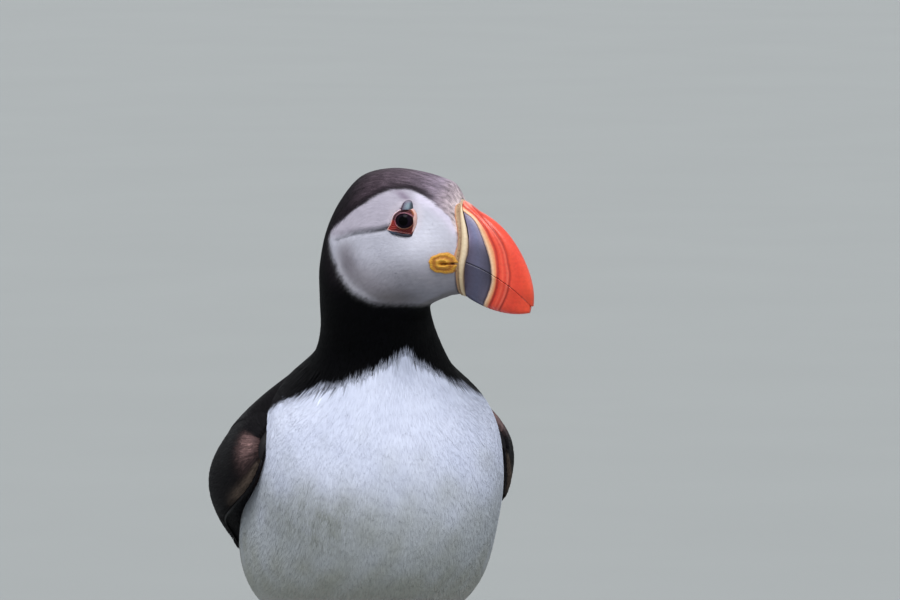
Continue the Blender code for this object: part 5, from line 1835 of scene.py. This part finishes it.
@dataclass
class Tail:
    """Short rounded feathers in a shallow fan.

    Fields: count of feathers; root and end of the middle line as (forward, height); width of a feather.
    """

    count: int = 16
    root: Pair = (-62.0, 46.0)
    end: Pair = (-106.5, 24.6)
    width: float = 10.2

    def dress(self, finish: Material) -> None:
        """The fan: each feather starts under the rump and lies beside and a little over the next."""
        rng = np.random.default_rng(400)
        place = np.linspace(-1, 1, self.count)[:, None]
        blades = Vanes(tip=6.5, thick=0.3)
        t, _ = blades.shares()
        root, end = np.array(self.root), np.array(self.end)
        tangent = unit(end - root)
        down = np.array([tangent[1], -tangent[0]])
        down = down * np.sign(down[1])
        half = 11 + 11.5 * t**0.7
        sag = -4.5 * (1 - 0.4 * t) * place**2
        back = 8.0 * place**2 * t**2 + 0.8 * rng.uniform(0, 1, (self.count, 1)) * t
        level = sag + 2.2 * (1 - np.abs(place)) - 0.4
        path = root + (end - root) * t[:, None]
        forward = path[None, :, 0] + down[0] * level - tangent[0] * back
        height = path[None, :, 1] + down[1] * level - tangent[1] * back
        centre = np.stack([half * place, -forward, height], -1)
        side = np.stack([np.ones_like(height), 0 * height, -0.35 * place + 0 * height], -1)
        normal = unit(np.cross(side, np.gradient(centre, axis=1)))
        normal = normal * np.sign(normal[..., 2:])
        tint = mix(srgb(20, 18, 22), srgb(40, 35, 38), rng.uniform(0, 1, self.count))
        surface = blades.build(centre, normal, np.full(self.count, self.width), tint)
        surface.make("tail_feathers", finish, "black_plumage", "tail")


# ---- legs and feet ------------------------------------------------------------------------------
@dataclass(frozen=True)
class Toe:
    """A toe: its name, its length and its bearing outward from straight ahead in degrees."""

    name: str
    length: float
    bearing: float


@dataclass
class Leg:
    """Shank, webbed foot and three claws.

    Fields: side; out, how far the ankle stands to the side; forward, how far ahead; toes, the inner one
    first; web and toe_height, how high webs and toes stand; toe_half, a toe's half width; ankle_height,
    how high the foot rises to the shank; shank_height; cuff_tufts, the feathers over the shank's top.
    """

    side: Side
    out: float = 21.0
    forward: float = -9.0
    toes: tuple[Toe, ...] = (Toe("inner", 28.0, -26.0), Toe("middle", 37.0, 0.0), Toe("outer", 36.0, 25.0))
    web: float = 1.1
    toe_height: float = 3.4
    toe_half: float = 1.9
    ankle_height: float = 5.6
    shank_height: float = 36.0
    cuff_tufts: Tufts = Tufts(2000, 5.0, 0.8, 12, 10, 0.1, 0.1, uneven=0.5)

    def at(self, outward: Array, forward: Array, height: Array) -> Array:
        """Place in the bird's frame of points given from the ankle's foot point."""
        x = self.side.value * (self.out + outward)
        return np.stack(np.broadcast_arrays(x, -(self.forward + forward), height), -1)

    def reach(self, bearing: Array) -> Array:
        """Length of the foot at a bearing: full at each toe, hollowed as 1 - 0.17 sin(pi g) between two."""
        bearings, lengths = [toe.bearing for toe in self.toes], [toe.length for toe in self.toes]
        gap = np.interp(bearing, bearings, (0, 1, 2)) % 1.0
        return np.interp(bearing, bearings, lengths) * (1 - 0.17 * np.sin(math.pi * gap))

    def shank(self, finish: Material) -> None:
        """Scaled shank: an oval tube with rows of scutes in front and fine scales behind."""
        t, angle = np.linspace(0, 1, 110)[:, None], round_about(72)[None, :]
        z = self.shank_height * t
        front = ease(0.2, 0.8, np.sin(angle))
        scute = 0.16 * np.abs(np.sin(math.pi * z / 2.0)) ** 0.4 * front
        scale = 0.10 * np.sin(2 * math.pi * z / 1.3 + 2 * np.sin(8 * angle)) * np.sin(8 * angle) * (1 - front)
        knob = 0.9 * hump(z, 5.0, 3.0) + 1.1 * np.abs(2 * t - 1) ** 1.6
        narrow = 1.5 * ease(2.2, 0.0, z)
        across, deep = 2.2 + knob + scute + scale - narrow, 2.9 + knob + scute + scale - narrow
        x = self.side.value * self.out + across * np.cos(angle)
        ahead = self.forward + 1.2 * np.sin(math.pi * t) + deep * np.sin(angle)
        points, faces = capped_tube(np.stack(np.broadcast_arrays(x, -ahead, z), -1))
        # painted light on the relief: lighter where scutes and scales stand out, darker between them
        tint = mix(srgb(206, 72, 30), srgb(244, 112, 52), ease(-0.1, 0.14, scute + scale))
        # painted shade: a darker band near the top, under the cuff's feathers
        tint = painted(tint, ((150, 60, 36), 0.6 * hump(z, 33, 5))).reshape(-1, 3)
        made = Surface(points, faces, np.concatenate([tint, tint[:2]]), None, {"pits": 0.5})
        label = self.side.label
        made.make(f"shank_skin_{label}", finish, "orange_leg_skin", f"shank_{label}")

    def cuff(self, finish: Material) -> None:
        """Short feathers from the belly down over the top of the shank."""
        t, angle = np.linspace(0, 1, 12), round_about(48)
        wide = 6.6 * (1 - t[:, None]) ** 1.4
        x = self.side.value * self.out + (3.1 + wide) * np.cos(angle)
        y = -(self.forward + (3.8 + wide) * np.sin(angle))
        rings = np.stack(np.broadcast_arrays(x, y, 44.0 - 16.0 * t[:, None]), -1)
        lattice = Lattice(t, angle, rings, wrap=True)
        plumer = Plumer(lattice, np.full(len(t), 0.9), forward=1)
        rng = np.random.default_rng(700)

        def paint(row: Array, _column: Array, _points: Array) -> Array:
            return mix(srgb(196, 198, 192), srgb(150, 150, 140), rng.uniform(0, 1, len(row)))

        surface = plumer.lay(self.cuff_tufts, np.ones(rings.shape[:2]), 701, paint)
        surface.make(f"leg_tufts_{self.side.label}", finish, "white_plumage")

    def foot(self, finish: Material) -> None:
        """Webbed foot with knuckles and scutes on the toes and shallow wrinkles across the webs."""
        low, high, margin = self.toes[0].bearing, self.toes[-1].bearing, 5
        bearing = np.linspace(low - margin, high + margin, 122)
        share = np.linspace(0.0, 1.0, 82)[1:, None]
        beyond = np.maximum(low - bearing, bearing - high)
        reach = self.reach(np.clip(bearing, low, high)) * (1 - 0.1 * ease(0, margin, beyond))
        radius, turn = share * reach[None, :], np.radians(bearing)[None, :]
        wrinkles = 0.10 * np.sin(1.9 * radius + 2.0 * np.sin(5 * turn))
        wrinkles = wrinkles + 0.08 * np.sin(60 * turn + radius * 0.7)
        top = (self.web + wrinkles * ease(6, 12, radius)) * (0.45 + 0.55 * ease(1.0, 0.93, share))
        top, on_toe = self.with_toes(top, radius, turn, share)
        top = top + (self.ankle_height - 1.0 - top) * np.exp(-((radius / 6.0) ** 2))
        side = self.side.value
        forward, outward = radius * np.cos(turn), side * radius * np.sin(turn)
        upper = np.stack([side * self.out + outward, -(self.forward + forward), top], -1)
        heel = np.array([side * self.out, -(self.forward - 3.2), 2.6])
        sheet = np.concatenate([heel + (upper[:1] - heel) * np.array([0.02, 0.02, 0.0]), upper])
        points, faces = closed_sheet(sheet, sheet * np.array([1.0, 1.0, 0.0]))
        on_toe, radius = (np.concatenate([grid[:1], grid]) for grid in (on_toe, radius))
        tint = painted(
            mix(srgb(196, 66, 34), srgb(240, 104, 48), ease(0.0, 0.7, on_toe)),
            ((150, 46, 26), 0.35 * ease(0.5, 0.0, on_toe) * (0.5 + 0.5 * np.sin(1.1 * radius))),
        )
        tint = np.concatenate([tint.reshape(-1, 3)] * 2)
        made = Surface(points, faces, tint, None, {"pits": 0.7})
        made.make(f"foot_skin_{self.side.label}", finish, "orange_leg_skin", f"foot_{self.side.label}")

    def with_toes(self, top: Array, radius: Array, turn: Array, share: Array) -> tuple[Array, Array]:
        """The web's height raised along each toe by exp(-(off / half width)^2.6), and how far each place
        lies on a toe."""
        on_toe = np.zeros_like(radius)
        for toe in self.toes:
            off = radius * np.sin(turn - math.radians(toe.bearing))
            ahead = radius * np.cos(turn - math.radians(toe.bearing))
            knuckle = 1 + 0.16 * hump(ahead, 0.40 * toe.length, 2.4)
            knuckle = knuckle + 0.14 * hump(ahead, 0.72 * toe.length, 2.2)
            scutes = 0.10 * np.abs(np.sin(math.pi * ahead / 1.7)) ** 0.5
            ridge = np.exp(-((np.abs(off) / (self.toe_half * knuckle)) ** 2.6))
            ridge = ridge * ease(toe.length + 0.3, toe.length - 1.6, ahead)
            height = self.toe_height * knuckle - 0.9 * share - self.web
            top = np.maximum(top, self.web + height * ridge + scutes * ridge)
            on_toe = np.maximum(on_toe, ridge)
        return top, on_toe

    def claws(self, finish: Material) -> None:
        """Curved, tapering claws: the radius falls as (1 - t)^0.7 while the line arches up and over."""
        share, angle = np.linspace(0, 1, 22), round_about(20)
        height = 1.75 + 1.1 * np.sin(math.pi * share * 0.9) - 1.2 * share**2
        radius = (1.25 * (1 - share) ** 0.7 + 0.12)[:, None]
        tint = mix(srgb(46, 36, 34), srgb(18, 15, 16), np.append(np.repeat(share, len(angle)), [0, 1]))
        for toe in self.toes:
            turn = math.radians(toe.bearing)
            ahead = (toe.length - 0.9 + 6.3 * share)[:, None]
            outward = ahead * math.sin(turn) + radius * np.cos(angle) * math.cos(turn)
            forward = ahead * math.cos(turn) - radius * np.cos(angle) * math.sin(turn)
            level = np.maximum(height[:, None] + radius * np.sin(angle), 0.0)
            points, faces = capped_tube(self.at(outward, forward, level))
            made = Surface(points, faces, tint, None, {"pits": 0.3})
            end = f"{toe.name}_{self.side.label}"
            made.make(f"nail_{end}", finish, "black_claw", f"claw_{end}")


# ---- studio -------------------------------------------------------------------------------------
@dataclass(frozen=True)
class Lamp:
    """A broad distant light: where it shines from, how wide it looks in degrees, strength and colour."""

    name: str
    place: tuple[float, float, float]
    width: float
    power: float
    colour: Colour


@dataclass(frozen=True)
class Studio:
    """Pale floor, soft lights and the camera, in metres and degrees.

    Fields: lamps; half_floor, half the floor's width; sky, the world's colour, and sky_power; middle that
    the lamps shine at; azimuth, elevation and distance of the camera; frame_width, how wide a stretch it
    shows at that distance; target and shift, where it looks: at the target, moved to its right.
    """

    lamps: tuple[Lamp, ...] = (
        Lamp("key", (-0.7, -1.5, 2.8), 40.0, 2.45, (1.0, 0.985, 0.97)),
        Lamp("fill", (1.9, -1.2, 1.0), 70.0, 0.35, (0.94, 0.97, 1.0)),
        Lamp("back", (0.4, 1.9, 1.8), 50.0, 0.6, (0.97, 0.98, 1.0)),
    )
    half_floor: float = 40.0
    sky: Colour = (0.80, 0.84, 0.88)
    sky_power: float = 0.75
    middle: tuple[float, float, float] = (0.0, 0.0, 0.11)
    azimuth: float = -17.0
    elevation: float = 5.0
    distance: float = 3.2
    frame_width: float = 0.351
    shift: float = 0.0312
    target: tuple[float, float, float] = (0.0, -0.0174, 0.1636)

    def build(self, finish: Material) -> None:
        """Adds floor, lights, world and camera."""
        self.floor(finish)
        for lamp in self.lamps:
            data = bpy.data.lights.new(lamp.name, "SUN")
            data.angle, data.energy, data.color = math.radians(lamp.width), lamp.power, lamp.colour
            made = bpy.data.objects.new(lamp.name, data)
            self.aim(made, np.array(lamp.place), np.array(self.middle))
            bpy.context.scene.collection.objects.link(made)
        world = bpy.data.worlds.new("studio")
        world.use_nodes = True
        world.node_tree.nodes["Background"].inputs["Color"].default_value = (*self.sky, 1.0)
        world.node_tree.nodes["Background"].inputs["Strength"].default_value = self.sky_power
        bpy.context.scene.world = world
        bpy.context.scene.view_settings.view_transform = "Standard"
        self.camera()

    def floor(self, finish: Material) -> None:
        """Adds the floor, which is part of the stage."""
        half = self.half_floor
        corners = [(-half, -half, 0), (half, -half, 0), (half, half, 0), (-half, half, 0)]
        mesh = bpy.data.meshes.new("floor")
        mesh.from_pydata(corners, [], [(0, 1, 2, 3)])
        mesh.materials.append(finish)
        ground = bpy.data.objects.new("floor", mesh)
        bpy.context.scene.collection.objects.link(ground)

    @staticmethod
    def aim(made: bpy.types.Object, place: Array, target: Array) -> None:
        """Puts an object at a place with its -Z axis towards a target and its Y axis upward."""
        back = unit(place - target)
        right = unit(np.cross((0.0, 0.0, 1.0), back))
        matrix = np.eye(4)
        matrix[:3] = np.column_stack([right, np.cross(back, right), back, place])
        made.matrix_world = Matrix(matrix.tolist())

    def camera(self) -> None:
        """Camera low in front and to the bird's right, with a long lens."""
        data = bpy.data.cameras.new("camera")
        data.lens = 36.0 * self.distance / self.frame_width
        data.clip_end = 30.0
        made = bpy.data.objects.new("camera", data)
        azimuth, elevation = math.radians(self.azimuth), math.radians(self.elevation)
        target = np.array([math.cos(azimuth), math.sin(azimuth), 0.0]) * self.shift + np.array(self.target)
        flat = math.cos(elevation)
        away = np.array([math.sin(azimuth) * flat, -math.cos(azimuth) * flat, math.sin(elevation)])
        self.aim(made, target + self.distance * away, target)
        bpy.context.scene.collection.objects.link(made)
        bpy.context.scene.camera = made


def finishes() -> dict[str, Material]:
    """All materials by a short name; sizes in metres."""
    return {
        "skin": CoatFinish("skin", roughness=0.8).make(),
        "plumage": CoatFinish(
            "plumage", roughness=0.75, sheen=0.1, specular=0.2, mottle=(0.93, 0.93, 0.94)
        ).make(),
        "dark": CoatFinish("dark_plumage", roughness=0.6, specular=0.05, mottle=(0.8, 0.8, 0.82)).make(),
        "vane": VaneFinish("feather", roughness=0.5, specular=0.14).make(),
        "bill": BillFinish("bill_horn", roughness=0.34, specular=0.5, coat=0.12).make(),
        "rim": SkinFinish("rim_skin", roughness=0.5, grain=0.0011, depth=0.00012, pitted=True).make(),
        "flesh": SkinFinish(
            "flesh", roughness=0.42, specular=0.3, grain=0.0006, depth=0.00008, subsurface=0.15
        ).make(),
        "horn": SkinFinish("plate_horn", roughness=0.42, grain=0.0005, depth=0.00006).make(),
        "eye": EyeFinish("eye", roughness=0.3, coat=0.12, specular=0.0).make(),
        "scales": SkinFinish("scales", roughness=0.42, grain=0.0008, depth=0.00012).make(),
        "claw": SkinFinish("claw", roughness=0.32, grain=0.0012, depth=0.00003).make(),
        "floor": FloorFinish("floor", roughness=0.75).make(),
    }


def build_side(side: Side, form: Form, face: FaceMap, looks: dict[str, Material]) -> None:
    """The parts that the bird has on either side: of the head, the wing, the shoulder and the leg."""
    head = Head(face, side)
    head.eyeball(looks["eye"])
    head.lids(looks["flesh"])
    head.plates(looks["horn"])
    head.rosette(looks["flesh"])
    wing = Wing(side)
    wing.core(looks["vane"])
    wing.feathers(looks["vane"])
    wing.small(looks["dark"])
    Scapulars(form, wing).dress(looks["vane"], looks["dark"])
    leg = Leg(side)
    leg.shank(looks["scales"])
    leg.cuff(looks["plumage"])
    leg.foot(looks["scales"])
    leg.claws(looks["claw"])


def main() -> None:
    """Builds every piece in order."""
    logging.basicConfig(level=logging.INFO, format="%(message)s")
    looks = finishes()
    form = Form()
    coat = Coat(form, Markings())
    coat.skin(looks["skin"])
    coat.dress(looks)
    bill = Bill()
    bill.mandible("upper", bill.culmen, bill.gap, looks["bill"])
    bill.mandible("lower", bill.gonys, -bill.gap, looks["bill"])
    bill.rim(form, looks["rim"])
    face = FaceMap(form)
    for side in Side:
        build_side(side, form, face, looks)
    Tail().dress(looks["vane"])
    Studio().build(looks["floor"])


if __name__ == "__main__":
    main()
